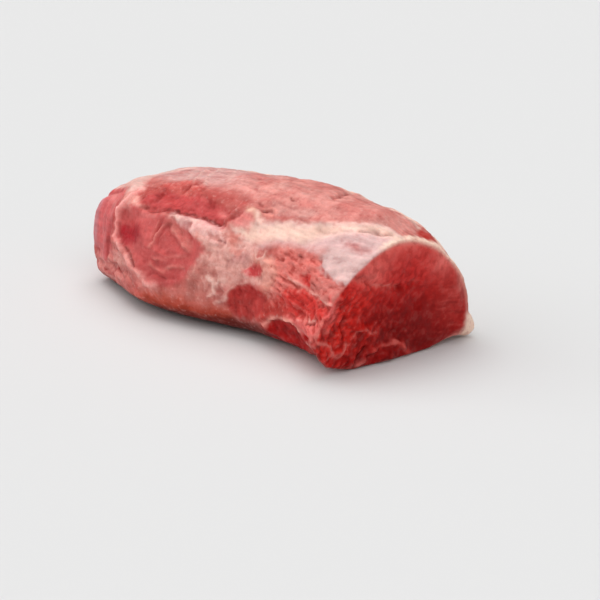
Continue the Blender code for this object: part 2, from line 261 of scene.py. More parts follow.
# %% Paths that serve both the relief and the paint
CLEFT = ((-58, 149.8), (-51, 149.8), (-43, 149.8), (-36, 148.5), (-30, 147.4), (-24, 146.4),
         (-12, 145), (0, 144.4), (10, 143.8), (18, 144.2))
LIP = ((-23, 149.6), (-14, 150), (-8, 149.6), (-2, 148.6), (4, 148.1), (10, 148.3), (17, 148.4))
RIM = ((-74, 135), (-73, 141), (-73, 147), (-75.5, 151.5), (-78, 155.5), (-79.5, 160),
       (-79.5, 166), (-78, 172), (-75.5, 176), (-70, 178.2), (-62, 180), (-55, 183), (-47, 186.5),
       (-40, 189), (-33, 191.5), (-24, 193))
RIM_SLIT = ((-62, 177.3), (-60, 178.8), (-56, 180.9), (-52, 182.4), (-48, 183.7))
RIM_FOOT = ((-69, 148), (-72, 153), (-76, 158), (-77.5, 164), (-76.5, 170), (-73, 174.5),
            (-66, 176))
FOLDED_V = (((-26, 157), (-29, 160.5), (-33, 166.8), (-36, 172.3)),
            ((-32.5, 155.5), (-34, 160.2), (-36, 166.1)),
            ((-20, 157), (-15, 159.9), (-9, 163.7), (-3, 167.7)),
            ((-12, 154.5), (-9, 156.2), (-3, 159.2)))
BESIDE_V = (((-28.5, 154), (-31.5, 160.5), (-34.5, 168)), ((-22, 156), (-26, 162), (-30, 169)),
            ((-23, 158), (-17, 162.5), (-11, 166.5)), ((-17, 154.5), (-11.5, 158.3), (-5, 162.5)))
HEART_FOLDS = (((-31, 173.2), (-21, 171.4), (-11, 169.4)), ((-32, 178.2), (-18, 175.6), (-5, 172.5)),
               ((-36, 183.7), (-19, 181.3), (-5, 179.1)), ((-23, 184.8), (-16, 183.7), (-9, 183.3)))
FOLD = ((-120, 206), (-104, 200), (-90, 197), (-78, 193), (-70, 190), (-62, 188.5))
LOW_FOLD = ((-101, 203), (-95, 204), (-86, 200), (-75, 194.6), (-65, 190.7), (-54, 189),
            (-47, 192.5), (-42, 196))
BELOW_HEART = ((-75, 194.6), (-63, 191.6), (-52, 192.4), (-47, 195.6))
TOP_FOLDS = (((-60, 78), (-52, 90), (-42, 106), (-33, 120)),
             ((-50, 76), (-42, 90), (-32, 106), (-22, 118)), ((-68, 84), (-58, 100), (-48, 116)))
TOP_NICKS = (((41, 126.5), (46.5, 124.5)), ((49, 107), (53, 109.5)), ((33, 120), (38, 124)))
TOP_CRACK = ((56, 57), (61, 67), (68, 78), (72, 86), (73, 94))
CORNER_NICK = ((110, 112), (117, 108), (124, 100))
KNOB = ((24, 131), (28, 128.5), (33, 127.5), (38, 129.5), (41, 134), (43.5, 140))
KNOB_FOLD = ((26, 133), (22, 140), (18.5, 146))
RING = ((50, 161), (56, 159.5), (63, 162), (66, 167), (65, 172.5), (60, 178.5))
V_FRAME = ((47, 155), (51, 160), (57.5, 158), (57, 151.5))
OVAL_RIDGE = ((22, 198), (26, 194), (31, 189.2), (36, 183.8), (44, 180.2))
CURLS = (((19, 183), (20, 187), (21, 191), (19, 193.5)), ((21, 186), (24, 182.6), (28, 180)),
         ((16, 180.5), (18, 183)))
PINK_LINE = ((80, 166.2), (90, 168.6), (100, 170.8), (113, 172.4), (124, 173.8))
SLIT = ((105, 189), (110, 188), (114, 186.8))
LOW_RIDGE = ((60, 204), (62, 202.5), (71, 197), (78, 194.7), (88, 194.2), (92, 199.6))

# %% Creases, as path, half width and height
CREASES = (
    # along the seam and in the hollows above it
    (CLEFT, 1.4, -0.4),
    (((-52, 128), (-47, 140)), 1.5, -0.7),
    (((-33, 124), (-37, 139)), 1.6, -0.8),
    (((-12, 131), (-14, 143)), 1.5, -0.6),
    (((-40, 120), (-26, 122), (-14, 126)), 1.6, -0.8),
    (((-44, 133), (-30, 133), (-20, 135)), 1.4, -0.4),
    # in the heart-shaped hollow
    (RIM_FOOT, 1.5, -0.9),
    (RIM_SLIT, 0.8, -0.8),
    (BESIDE_V[0], 1.0, -0.8),
    (BESIDE_V[1], 1.1, -0.8),
    (BESIDE_V[2], 1.1, -0.7),
    (BESIDE_V[3], 1.0, -0.7),
    (((-30, 187), (-24, 185.5), (-16, 186.5), (-10, 185)), 1.1, -0.8),
    # in the fat and film at the lower left, and on the left end
    (FOLD, 1.6, -0.9),
    (LOW_FOLD[2:], 1.4, -0.6),
    (BELOW_HEART, 1.1, -0.9),
    (((-100, 203), (-88, 197), (-76, 193.5), (-64, 196)), 1.3, -0.7),
    (((-100, 203), (-86, 201), (-70, 203)), 1.2, -0.8),
    (((-84, 182), (-76, 183), (-66, 182), (-58, 185)), 1.0, -0.8),
    (((-90, 190), (-78, 187.5), (-66, 186)), 1.0, -0.7),
    (((-49, 188.2), (-43, 192), (-34, 194.3)), 1.1, -0.7),
    (((-126, 148), (-112, 142.5), (-98, 139.5)), 1.8, -0.6),
    (((-90, 165), (-92, 178), (-97, 193)), 2.4, -0.5),
    (((-100, 152), (-101, 167), (-99, 184)), 2.4, -0.4),
    (((-113, 151), (-115, 166), (-112, 184)), 2.6, -0.35),
    # beside the knob and in the muscle on top
    (((20, 130), (16, 138), (14.5, 144)), 1.2, -0.8),
    (KNOB_FOLD, 1.1, -0.6),
    (TOP_NICKS[0], 1.1, -1.6),
    (TOP_NICKS[1], 1.0, -0.8),
    (TOP_NICKS[2], 1.0, -0.8),
    (TOP_CRACK, 1.3, -1.2),
    (CORNER_NICK, 1.1, -1.0),
    (((98, 119), (110, 117), (122, 111)), 1.0, -0.5),
    (((100, 127), (110, 125), (120, 119)), 1.0, -0.5),
    # between the torn bundles of the flank
    (SLIT, 0.8, -0.6),
    (((100, 203), (108, 198), (121, 190.5)), 1.2, -0.9),
    (((82, 168.5), (92, 171), (102, 173.2), (114, 175), (124, 176.5)), 1.2, -0.9),
    (((66, 160), (78, 165), (88, 172)), 1.2, -0.9),
    (((63, 171), (80, 175), (98, 181)), 1.2, -0.8),
    (((70, 168), (84, 171), (97, 176)), 1.1, -0.7),
    (((96, 146), (101, 153), (112, 158.5), (124, 160)), 1.3, -0.8),
    (((98, 186), (84, 190), (70, 192), (62, 196)), 1.3, -0.7),
)
print("creases:", len(CREASES))

# %% Raised rims and folds, in the same form
RAISED = (
    (RIM[:10], 1.6, 1.6),
    (RIM[9:], 1.5, 0.8),
    (LIP, 1.5, 0.6),
    (FOLDED_V[0], 1.3, 1.1),
    (FOLDED_V[1], 1.2, 0.8),
    (FOLDED_V[2], 1.3, 0.9),
    (FOLDED_V[3], 1.2, 0.6),
    (HEART_FOLDS[0], 1.1, 0.7),
    (HEART_FOLDS[1], 1.1, 0.8),
    (HEART_FOLDS[2], 1.1, 0.9),
    (HEART_FOLDS[3], 1.0, 0.7),
    (((-94, 195), (-82, 191), (-70, 190), (-60, 194)), 1.6, 0.7),
    (TOP_FOLDS[0], 1.5, 0.8),
    (TOP_FOLDS[1], 1.4, 0.6),
    (TOP_FOLDS[2], 1.5, 0.6),
    (KNOB[2:], 1.0, 0.4),
    (((23.5, 131), (19.5, 138), (17, 144.5)), 1.2, 0.9),
    (((40, 129.5), (47, 127.5)), 1.2, 0.7),
    (RING, 2.0, 0.8),
    (((57, 163), (59, 168), (58, 173)), 1.0, 0.5),
    (V_FRAME, 0.9, 0.7),
    (OVAL_RIDGE, 1.1, 0.6),
    (CURLS[0], 1.2, 1.3),
    (CURLS[1], 1.1, 0.9),
    (CURLS[2], 1.0, 0.8),
    (PINK_LINE, 1.1, 0.8),
    (((105, 187.2), (109, 186.4), (113, 185.4)), 0.9, 0.35),
    (LOW_RIDGE, 1.4, 1.1),
)
print("rims and folds:", len(RAISED))

# %% Pits and swellings, as place, half sizes and height
PITS = (
    ((8, 94), (2.0, 1.8), -0.8),
    ((22, 111), (2.0, 1.8), -0.4),
    ((36, 122), (1.5, 1.4), -0.9),
    ((33, 153), (1.8, 1.6), -0.8),
    ((22, 156), (3.0, 1.5), -1.0),
    ((30, 170), (1.8, 2.6), -1.1),
    ((-116, 195), (2.6, 2.4), -0.8),
    ((92, 162), (3.2, 3.0), -1.2),
    ((70, 156), (1.8, 1.6), -1.4),
    ((78, 155), (1.6, 1.5), -1.4),
    ((82, 149), (1.8, 1.6), -1.3),
    ((72, 151), (1.8, 1.4), -1.2),
    ((66, 163), (1.6, 1.5), -1.0),
    ((48, 168), (3.6, 3.2), -0.9),
    ((27, 189), (2.0, 2.0), -1.1),
    ((122, -16), (9.0, 5.0), -3.0),
    ((124, 52), (8.0, 12.0), 2.0),
)
LINE_WANDER, LINE_FRAY = 1.1, 0.1
SWELL, SWELL_PITCH = 0.38, 8.0
CREASE_STEADINESS = 0.55  # the share of a crease that doesn't swell and fade

lines_a = along + LINE_WANDER * wander_a + LINE_FRAY * fray_a
lines_b = around + LINE_WANDER * wander_b + LINE_FRAY * fray_b
swell = np.clip(1.0 + SWELL * clouds(points, SWELL_PITCH, 13, 2), 0.25, 1.9)
crease_swell = CREASE_STEADINESS + (1.0 - CREASE_STEADINESS) * swell
relief = np.zeros(len(points))
for path, half_width, height in CREASES:
    relief += height * crease_swell * stroke(lines_a, lines_b, path, half_width)
for path, half_width, height in RAISED:
    relief += height * swell * stroke(lines_a, lines_b, path, half_width)
for place, size, height in PITS:
    relief += height * spot(lines_a, lines_b, place, size)
line_relief = relief.copy()
print("lines and spots lift", relief.max().round(2), "and sink", relief.min().round(2), "mm")

# %% [markdown]
# ## Patches of different tissue
#
# Several kinds of tissue meet on the skin. Each patch is drawn as an outline on the map
# and gets a mask between 0 and 1, with an edge as soft or as torn as the real one. The
# same masks steer the fine relief here and the paint later, so a red hollow is rough
# where it is red and smooth where film covers it.

# %% Outlines of the patches
OUTLINES = {
    "heart": ((-79, 159), (-76, 153), (-70, 150.5), (-58, 150.5), (-30, 150.5), (-18, 151.5),
              (-10, 153), (0, 156.5), (7, 160.5), (11, 165), (10, 170.5), (6, 176), (2, 181), (-4, 186.5),
              (-12, 190), (-24, 191.5), (-34, 189), (-43, 185), (-52, 181.5), (-61, 178), (-72, 176.5),
              (-78, 172)),
    "pocket": ((-79, 164), (-71, 163), (-62, 160.5), (-52, 162), (-47, 167), (-54, 172), (-64, 175),
               (-76, 174)),
    "seam hollow": ((-60, 148), (-61, 142), (-54, 136.5), (-46, 133), (-30, 131), (-14, 130.5),
                    (0, 132.5), (12, 133.5), (21, 134), (19, 139), (17.5, 143.5), (8, 144.4),
                    (0, 145.2), (-25, 147), (-45, 149.5)),
    "upper hollow": ((-60, 134), (-56, 125), (-48, 119), (-41, 116), (-30, 118), (-22, 123),
                     (-14, 128), (-28, 133), (-46, 134)),
    "ragged": ((60, 151), (70, 147), (84, 145.5), (95, 145.5), (100, 152), (108, 157.5), (124, 160),
               (130, 175), (128, 196), (112, 197), (98, 194), (84, 190), (66, 187), (60, 180),
               (66, 172), (64, 161)),
    "bright red": ((89, 161), (95, 160), (98, 165), (97, 168), (92, 167.5), (89, 165)),
    "oval": ((30, 195), (32, 190), (36, 185.5), (44, 182), (52, 181), (59, 183), (62, 188), (60, 196),
             (55, 202), (47, 206.5), (38, 206.5), (32, 202)),
    "oval dark": ((35, 186.5), (44, 182), (53, 182), (56, 187), (52, 190.5), (44, 192), (36, 192.5)),
    "oval shade": ((56, 181.5), (66, 184), (78, 187), (90, 188.5), (86, 192), (70, 195), (62, 201),
                   (54, 206), (58, 194)),
    "lower lobe": ((57, 206), (64, 201.5), (71, 197.7), (77, 195.7), (86, 195.2), (90, 200),
                   (95, 204.6), (98, 212), (96, 222), (56, 222)),
    "foot": ((96, 206), (103, 201), (112, 194.5), (119, 190), (128, 190), (128, 222), (96, 222)),
    "pink skin": ((84, 191), (96, 190), (108, 189.5), (119, 186), (118.5, 189.5), (112, 193.5),
                  (103, 200), (96, 205), (91, 199)),
    "lip film": ((-26, 148.2), (-16, 147.6), (-9, 146.7), (0, 145.6), (9, 144.8), (19, 145.5),
                 (17, 151), (12, 153), (4, 154), (-2, 155.5), (-11, 154), (-20, 151.5)),
    "white film": ((-17, 150), (-7, 149), (4, 148), (15, 148.5), (24, 150), (27, 154), (23, 158.5),
                   (12, 158), (4, 154.5), (-6, 152.5)),
    "left end": ((-140, 140), (-118, 136), (-94, 136.5), (-84, 146), (-85, 156), (-84.5, 164),
                 (-83.5, 172), (-87, 184), (-98, 197), (-113, 200), (-124, 192), (-140, 184)),
    "small dark": ((40, 173.5), (43, 168.7), (48, 163.8), (54, 161.5), (57, 164), (56, 169),
                   (53, 173), (47, 174.9)),
    "small pink": ((54, 161), (60, 162), (62, 168), (58, 174), (53, 174)),
    "band": ((26, 142), (34, 136.5), (42, 133), (60, 128), (77, 122.5), (93, 115.5), (107, 107),
             (118, 95), (140, 88), (140, 140), (128, 152), (104, 155), (95, 144), (80, 143),
             (68, 146), (56, 149), (44, 156), (34, 156), (27, 149)),
    "cream": ((26, 143), (35, 137.5), (44, 134), (60, 129.5), (77, 124), (93, 117), (107, 108.5),
              (118, 97), (140, 92), (140, 98), (120, 105), (108, 115), (94, 124), (84, 134),
              (74, 139), (60, 141), (50, 147), (42, 151), (33, 149)),
    "white patch": ((96, 145), (97.5, 140.5), (104, 134), (113, 134), (123, 132), (134, 134),
                    (134, 161), (122, 160.5), (110, 157.5), (101, 152.5)),
    "mottled": ((-30, 152), (-12, 149), (4, 148.5), (24, 147), (40, 150), (53, 157), (62, 158),
                (68, 166), (62, 178), (42, 180), (31, 184), (27, 190.5), (19, 193), (9, 189),
                (3, 184), (8, 174), (11, 165), (3, 156.5), (-10, 153)),
    "grey film": ((-30, 194), (-10, 190), (-1, 181.5), (8, 174.5), (14, 171), (17, 177), (18, 184),
                  (20, 191), (25, 195), (31, 197), (33, 202), (20, 203), (0, 199), (-26, 198)),
    "tan film": ((32, 159), (41, 157), (47, 161), (41, 167), (33, 167.5)),
    "shoulder": ((-128, 134), (-112, 118), (-98, 100), (-90, 74), (-92, 50), (-80, 50), (-80, 80),
                 (-84, 106), (-82, 126), (-76, 134), (-76, 142), (-84, 142), (-90, 136), (-104, 135)),
    "pocket slope": ((-80, 150), (-77, 143), (-66, 145), (-56, 150), (-68, 153), (-76, 158)),
    "low left fat": ((-100, 195), (-92, 188), (-86, 177.5), (-78, 177.5), (-66, 178.5), (-56, 183),
                     (-45, 187), (-36, 191), (-28, 195), (-36, 199), (-52, 203), (-72, 206), (-92, 210),
                     (-118, 214), (-126, 205), (-112, 199)),
    # shaded low film: brownish film low on the flank, its paint darkened further as painted shade
    "shaded low film": ((-56, 202), (-40, 198), (-24, 196), (-12, 197), (14, 200), (30, 201.5), (34, 214),
                 (0, 224), (-56, 222)),
    # underside shade: the strip along the foot, painted dark as the shade under the joint
    "underside shade": ((-120, 217), (-92, 212), (-72, 208.5), (-52, 206), (-36, 204), (-20, 202.8),
               (10, 203.2), (30, 205.5), (60, 209), (60, 230), (-70, 230), (-120, 230)),
    "wedge": ((99, 162), (108, 160.5), (120, 160.5), (129, 161), (129, 173.5), (117, 172), (107, 171),
              (99, 168.5)),
    "orange": ((25, 147), (33, 147), (34, 153), (29, 157), (24, 154)),
    "knob inside": ((22, 136), (26, 130), (34, 129), (38, 135), (36, 142), (26, 143)),
    "right low": ((71, 183), (79, 177), (86, 173), (93, 170), (102, 173), (124, 175.5), (124, 181),
                  (114, 186), (98, 187.5), (86, 188.5), (74, 188.6)),
    "notch": ((114, 36), (122, 35), (130, 47), (131, 60), (128, 68), (123, 65), (117, 52)),
    "back fat": ((-128, -70), (128, -70), (128, 40), (112, 62), (80, 50), (40, 58), (0, 46),
                 (-44, 54), (-84, 44), (-122, 56)),
}

# %% Edges: softness in millimetres, then how far the edge wanders and frays
EDGES = {
    "heart": (2.4, 0.6, 0.4), "pocket": (4.0, 1.0, 0.4), "seam hollow": (3.0, 1.0, 0.6),
    "upper hollow": (5.5, 1.6, 0.6), "ragged": (3.4, 1.6, 1.5), "bright red": (2.6, 0.6, 0.8),
    "oval": (2.4, 0.4, 0.4), "oval dark": (4.0, 0.8, 0.8), "small pink": (3.0, 0.6, 0.5),
    "tan film": (4.0, 1.0, 0.6), "oval shade": (4.0, 1.2, 0.8), "lower lobe": (2.0, 0.5, 0.4),
    "foot": (2.5, 0.8, 0.5), "pink skin": (2.4, 0.8, 0.6), "lip film": (1.6, 0.5, 0.5),
    "white film": (3.0, 1.0, 0.8),
    "left end": (3.0, 1.2, 0.5), "small dark": (2.2, 0.5, 0.5), "band": (3.0, 0.5, 0.3),
    "cream": (5.0, 0.9, 0.5), "white patch": (2.6, 1.3, 0.7), "mottled": (5.0, 1.6, 0.8),
    "grey film": (5.5, 1.6, 0.8), "shoulder": (6.0, 1.4, 0.5), "pocket slope": (3.0, 1.0, 0.4),
    "low left fat": (3.0, 1.2, 0.8), "shaded low film": (5.0, 1.0, 0.5), "underside shade": (6.0, 1.0, 0.5),
    "wedge": (2.4, 1.2, 0.6), "orange": (2.6, 0.8, 0.6), "knob inside": (2.6, 0.8, 0.5),
    "right low": (4.0, 1.2, 1.4), "notch": (2.0, 0.6, 0.4), "back fat": (6.0, 3.0, 1.2),
}
print("patches:", len(OUTLINES), "outlines and", len(EDGES), "edges")

# %% Masks of the cut, the far end and every patch
CUT_TURN = (0.55, 0.80)  # how squarely a point has to face along the cut's normal
CUT_DEPTH = (7.0, 5.0)
FAR_END_TURN = (0.78, 0.94)

cut_normal = np.array((1.0, -CUT_PLANE[1], -CUT_PLANE[2]))
cut_normal /= np.linalg.norm(cut_normal)
facing_cut = normals @ cut_normal
on_cut = smoothstep(*CUT_TURN, facing_cut) * smoothstep(*CUT_DEPTH, behind_cut)
far_end = smoothstep(*FAR_END_TURN, -normals[:, 0])
skin = 1.0 - on_cut
masks = {}
for name, outline in OUTLINES.items():
    softness, wander, fray = EDGES[name]
    masks[name] = patch(along + wander * wander_a + fray * fray_a,
                        around + wander * wander_b + fray * fray_b, outline, softness)
print("patches cover", {name: int(mask.sum()) for name, mask in masks.items()}, "points")


def covered(*names):
    """One mask for several patches together."""
    return 1.0 - np.prod([1.0 - masks[name] for name in names], axis=0)


# %% [markdown]
# ## Fine relief of each tissue
#
# Muscle under its film shows faint strands, torn muscle is stringy, film puckers into
# winding wrinkles and fat is softly lumpy. The noises are made once, some of them
# stretched along the fibres, and each patch takes the ones that suit it. The far end is
# a rough cut, so it drops the skin's texture for its own.

# %% Noises for the fine relief
def streaks(a, b, pitch_a, pitch_b, seed):
    """Noise on the map, drawn out along one of its two directions."""
    level = np.full_like(along, 3.0 * seed)
    return clouds(np.stack([a / pitch_a, b / pitch_b, level], axis=1), 1.0, seed, 3)


crinkle = clouds(points, 4.6, 3, 4)
grit = clouds(points, 2.4, 4, 3)
lumps = clouds(points, 15.0, 5, 2)
folds = clouds(points, 7.5, 14, 2)
strands = streaks(along + 0.8 * around, around - 0.2 * along, 13.0, 2.6, 6)
tears = streaks(along + 0.3 * around, around - 0.32 * along, 9.0, 3.0, 7)
end_strands = streaks(along - 0.15 * around, around, 3.0, 16.0, 15)
rim_folds = streaks(along, around + 0.16 * along, 16.0, 2.8, 16)
long_folds = streaks(along, around + 0.4 * np.maximum(along - 90.0, 0.0), 15.0, 3.4, 17)
print("strands run from", strands.min().round(1), "to", strands.max().round(1))

# %% Fine relief, as patch, noise and height in millimetres
TEXTURES = (
    ("ragged", tears, 0.36),
    ("ragged", grit, 0.10),
    ("mottled", crinkle, 0.18),
    ("mottled", folds, 0.13),
    ("mottled", veins(crinkle, 0.18), -0.16),
    ("heart", strands, 0.02),
    ("lip film", folds, 0.20),
    ("white film", folds, 0.10),
    ("white film", veins(crinkle, 0.20), -0.18),
    ("left end", end_strands, 0.03),
    ("left end", crinkle, -0.06),
    ("low left fat", rim_folds, 0.12),
    ("shaded low film", rim_folds, 0.06),
    ("band", long_folds, 0.08),
    ("white patch", folds, 0.16),
    ("back fat", crinkle, 0.07),
    ("back fat", long_folds, 0.06),
)
TOP_MUSCLE_FRONT, TOP_MUSCLE_BACK = (132.0, 120.0), (48.0, 62.0)
BAND_CLIMBS_FROM, BAND_CLIMB = 80.0, 0.35  # the fat band cuts into the muscle near the cut
WHITE_PATCH_LIFT = 0.5

climbing = around + BAND_CLIMB * np.maximum(along - BAND_CLIMBS_FROM, 0.0)
top_muscle = smoothstep(*TOP_MUSCLE_FRONT, climbing) * smoothstep(*TOP_MUSCLE_BACK, around)
top_muscle *= (1.0 - masks["shoulder"]) * (1.0 - masks["notch"]) * skin
wrinkled = top_muscle * smoothstep(-5.0, 25.0, along) * (0.35 + 0.65 * smoothstep(-0.2, 0.9, lumps))
wrinkles = np.maximum(veins(folds, 0.16), 0.8 * veins(crinkle, 0.14))
bare_hollows = covered("seam hollow", "upper hollow", "oval", "lower lobe", "foot")

fine = skin * (0.09 * crinkle + 0.06 * grit)
fine += top_muscle * 0.08 * strands - wrinkled * 0.24 * wrinkles
fine += bare_hollows * (0.20 * folds + 0.06 * grit)
for name, texture, height in TEXTURES:
    fine += height * masks[name] * texture
fine += far_end * (0.16 * folds + 0.10 * grit - fine)
relief += fine + skin * 0.16 * lumps + masks["white patch"] * WHITE_PATCH_LIFT
print("relief now between", relief.min().round(2), "and", relief.max().round(2), "mm")

# %% [markdown]
# ## The cut face
#
# The knife crossed the fibres here, so the face shows the ends of fibre bundles three or
# four millimetres wide, leaning a little to one side and parted by dark seams. Voronoi
# cells make such bundles, because each cell ends halfway to its neighbours. The face is
# smooth at the top and on the right and torn into wet shreds low on the left, and a soft
# lobe bulges over the lower edge. Everything is placed by width and height on the face.

# %% Folds and ridges of the cut face, as path, half width and height
HORN = ((-63, 23), (-57, 22), (-53, 18), (-51, 13), (-47, 11.5), (-45, 15), (-42, 19))
LOBE_CREST = ((-22, 9.5), (-15, 12.4), (-7, 13), (-1, 9.5), (7, 2.5))
LOBE_SLIT = ((-27, 12), (-33, 7), (-34, 0))
FACE_FOLDS = (
    (((-38, 58), (-29, 54.5), (-20, 50.5), (-5, 46.5), (6, 46)), 1.1, -0.9),
    (((-45, 29), (-41, 36), (-35, 41)), 1.4, -0.9),
    (((-50, 44), (-43, 33), (-42, 20)), 1.6, -1.0),
    (LOBE_SLIT, 1.5, -1.4),
    (((-24, 7), (-15, 10), (-5, 10), (0, 6)), 1.3, -0.6),
    (((-18, 22), (-10, 18), (2, 18)), 1.6, -0.6),
    (((-42, 26), (-34, 22.5), (-26, 22)), 1.1, -0.8),
    (((-36, 60.5), (-28, 56.5), (-20, 52.5), (-12, 50)), 1.3, 0.5),
    (LOBE_CREST, 1.7, 1.0),
    (HORN, 1.3, 0.9),
    (((-42, -1), (-34, 2), (-28, 5)), 1.3, 0.7),
    (((-39, 48), (-43, 44), (-46, 39)), 2.2, 0.9),
    (((-34, 45), (-37, 39), (-40, 34)), 2.2, 0.8),
)
FACE_WANDER, FACE_FRAY = 0.8, 0.4

across, height = points[:, 1], points[:, 2]
face_a = across + FACE_WANDER * wander_a + FACE_FRAY * fray_a
face_b = height + FACE_WANDER * wander_b + FACE_FRAY * fray_b
face_relief = np.zeros(len(points))
for path, half_width, lift in FACE_FOLDS:
    face_relief += lift * swell * stroke(face_a, face_b, path, half_width)
face_lines = face_relief.copy()
print("folds lift the cut", face_lines.max().round(2), "and sink it", face_lines.min().round(2), "mm")

# %% Bundles and shreds of the cut face
BUNDLE_WIDTH, BUNDLE_LENGTH = 3.3, 4.5
BUNDLE_LEAN = math.radians(24.0)
BUNDLE_WARP = 0.2
BUNDLE_MIDDLE, BUNDLE_SEAM = 0.10, 0.75  # distances from the middle, in cells
HALF_WAY = 0.4  # the distance given to points off the face
TORN_ACROSS, TORN_HEIGHT = (-24.0, -44.0), (58.0, 44.0)

shredded = smoothstep(*TORN_ACROSS, across) * smoothstep(*TORN_HEIGHT, height)
shredded = np.maximum(shredded, spot(across, height, (-30, 20), (15.0, 9.0)))
rough_cut = smoothstep(70.0, 52.0, height) * smoothstep(34.0, 0.0, across)
right_edge = smoothstep(18.0, 34.0, across) * smoothstep(52.0, 36.0, height)

side = (face_a * math.cos(BUNDLE_LEAN) - face_b * math.sin(BUNDLE_LEAN)) / BUNDLE_WIDTH
rise = (face_a * math.sin(BUNDLE_LEAN) + face_b * math.cos(BUNDLE_LEAN)) / BUNDLE_LENGTH
bent = np.stack([side, rise, BUNDLE_WARP * clouds(points, 9.0, 18, 2)], axis=1)
from_middle = np.full(len(points), HALF_WAY)
face_points = np.nonzero(on_cut > 0.0)[0]
for index, place in zip(face_points, bent[face_points].tolist()):
    from_middle[index] = noise.voronoi(place)[0][0]
bundle = smoothstep(BUNDLE_SEAM, BUNDLE_MIDDLE, from_middle)
face_shreds = streaks(across + height, across - height, 6.5, 3.2, 9)
face_curves = streaks(across - 0.2 * height, height + 0.15 * across, 12.0, 1.8, 19)
face_fine = (0.06 + 0.26 * rough_cut + 0.32 * shredded) * (bundle - 0.5) + 0.03 * grit
face_fine += shredded * (0.26 * face_shreds + 0.04 * grit)
face_relief += face_fine + 0.20 * folds * rough_cut
print("bundles on the cut:", len(face_points), "points")

# %% [markdown]
# ## Move the skin
#
# All the relief so far is a number for each point. Now every point moves that far along
# its normal, as under a sculpting brush. Near the resting side the relief fades away, so
# the joint keeps its flat seat, and by the cut the skin is let out a little, because the
# remeshing rounded that edge off.

# %% Push the skin out and in along its normals
RESTING_FADE = (1.0, 7.0)  # heights between which the relief comes in
FACE_RESTING_FADE = (0.3, 3.0)
EDGE_LOST, EDGE_WIDTH = 1.8, 4.5
EDGE_STARTS = (20.0, 50.0)

fade = smoothstep(*RESTING_FADE, height)
face_fade = smoothstep(*FACE_RESTING_FADE, height)
edge_reach = EDGE_LOST * np.exp(-(behind_cut / EDGE_WIDTH) ** 2)
edge_reach *= smoothstep(*EDGE_STARTS, across + height)
total = (relief + edge_reach) * skin * fade + face_relief * on_cut * face_fade
put_points(joint, points + normals * total[:, None])
apply_modifier(joint, "settle", "SMOOTH", factor=0.3, iterations=1)
choose(joint)
bpy.ops.object.shade_smooth()
print("joint has", triangle_count(joint), "triangles")

# %% [markdown]
# ## Paint in layers
#
# The paint goes on in layers, as on a model painted by hand: first the pink muscle under
# its film, then fat and silverskin, then the red hollows, last the thin pale rims and the
# painted shade in slits and creases. Each tone is picked once and named. The layers are
# mixed into one colour attribute on the mesh, so the shader only has to add what is finer than that.

# %% Tones, as 0 to 255 picks
TONES = {
    "muscle": (211, 138, 129), "muscle left": (207, 156, 151), "muscle rosy": (171, 47, 43),
    "shoulder": (219, 180, 170), "back fat": (243, 208, 190), "band": (215, 178, 175),
    "cream": (243, 203, 185), "white patch": (209, 174, 170), "mottled": (228, 172, 161),
    "mottled dark": (198, 116, 106), "grey film": (193, 113, 103), "low left fat": (211, 124, 116),
    "shaded low film": (197, 74, 48), "underside shade": (104, 24, 17), "left end": (202, 92, 93),
    "left end pale": (220, 136, 130), "pocket slope": (236, 172, 160), "heart": (196, 86, 84),
    "heart low": (171, 60, 59), "pocket": (160, 23, 35), "seam hollow": (188, 69, 69),
    "upper hollow": (204, 95, 87), "ragged": (215, 115, 106), "bright red": (195, 5, 5),
    "right low": (194, 19, 13), "wedge": (195, 108, 100), "orange": (218, 127, 113),
    "knob inside": (222, 131, 125), "small dark": (197, 48, 55), "oval": (177, 55, 51),
    "oval shade": (174, 42, 33), "lower lobe": (164, 5, 5), "notch": (176, 32, 21),
    "rim": (247, 159, 153), "rim low": (236, 160, 152), "knob": (234, 188, 166),
    "lip": (208, 144, 142), "ring": (228, 148, 132), "ridge": (242, 160, 146), "cut rim": (247, 214, 194),
    "pale scrap and painted light": (248, 205, 192), "oval dark": (175, 46, 45), "small pink": (180, 109, 95),
    "tan film": (183, 121, 119), "pink skin": (225, 104, 99), "foot": (170, 60, 55),
    "crease shade": (110, 22, 20), "end rim light": (184, 126, 132), "white film": (250, 196, 188),
    "cut": (174, 11, 8), "cut top": (238, 116, 108), "cut upper": (210, 47, 44),
    "cut dark": (115, 5, 5), "cut right": (186, 59, 53), "cut left": (231, 43, 32),
    "cut shreds and glints": (214, 112, 104),
    "cut lobe": (100, 5, 5), "cut net": (216, 84, 76), "cut edge": (214, 128, 118),
}
print("tones:", len(TONES))

# %% Layers, as patch, tone and strength, in the order they are laid
LAYERS = (
    ("shoulder", "shoulder", 0.9), ("back fat", "back fat", 0.9), ("band", "band", 0.95),
    ("cream", "cream", 0.9), ("white patch", "white patch", 0.95), ("mottled", "mottled", 0.95),
    ("grey film", "grey film", 0.85), ("low left fat", "low left fat", 0.95),
    ("shaded low film", "shaded low film", 0.9), ("left end", "left end", 0.95),
    ("pocket slope", "pocket slope", 0.9), ("heart", "heart", 0.97), ("pocket", "pocket", 0.9),
    ("upper hollow", "upper hollow", 0.9), ("seam hollow", "seam hollow", 0.95),
    ("ragged", "ragged", 0.97), ("right low", "right low", 0.85),
    ("bright red", "bright red", 0.85), ("wedge", "wedge", 0.92), ("orange", "orange", 0.8),
    ("knob inside", "knob inside", 0.85), ("tan film", "tan film", 0.6),
    ("small pink", "small pink", 0.7), ("small dark", "small dark", 0.9),
    ("oval shade", "oval shade", 0.8), ("oval", "oval", 0.97), ("oval dark", "oval dark", 0.6),
    ("pink skin", "pink skin", 0.9), ("lower lobe", "lower lobe", 0.97), ("notch", "notch", 0.95),
    ("foot", "foot", 0.9), ("lip film", "lip", 0.85), ("white film", "white film", 0.7),
    # last, painted shade on the underside strip along the foot
    ("underside shade", "underside shade", 0.9),
)
print("layers:", len(LAYERS))

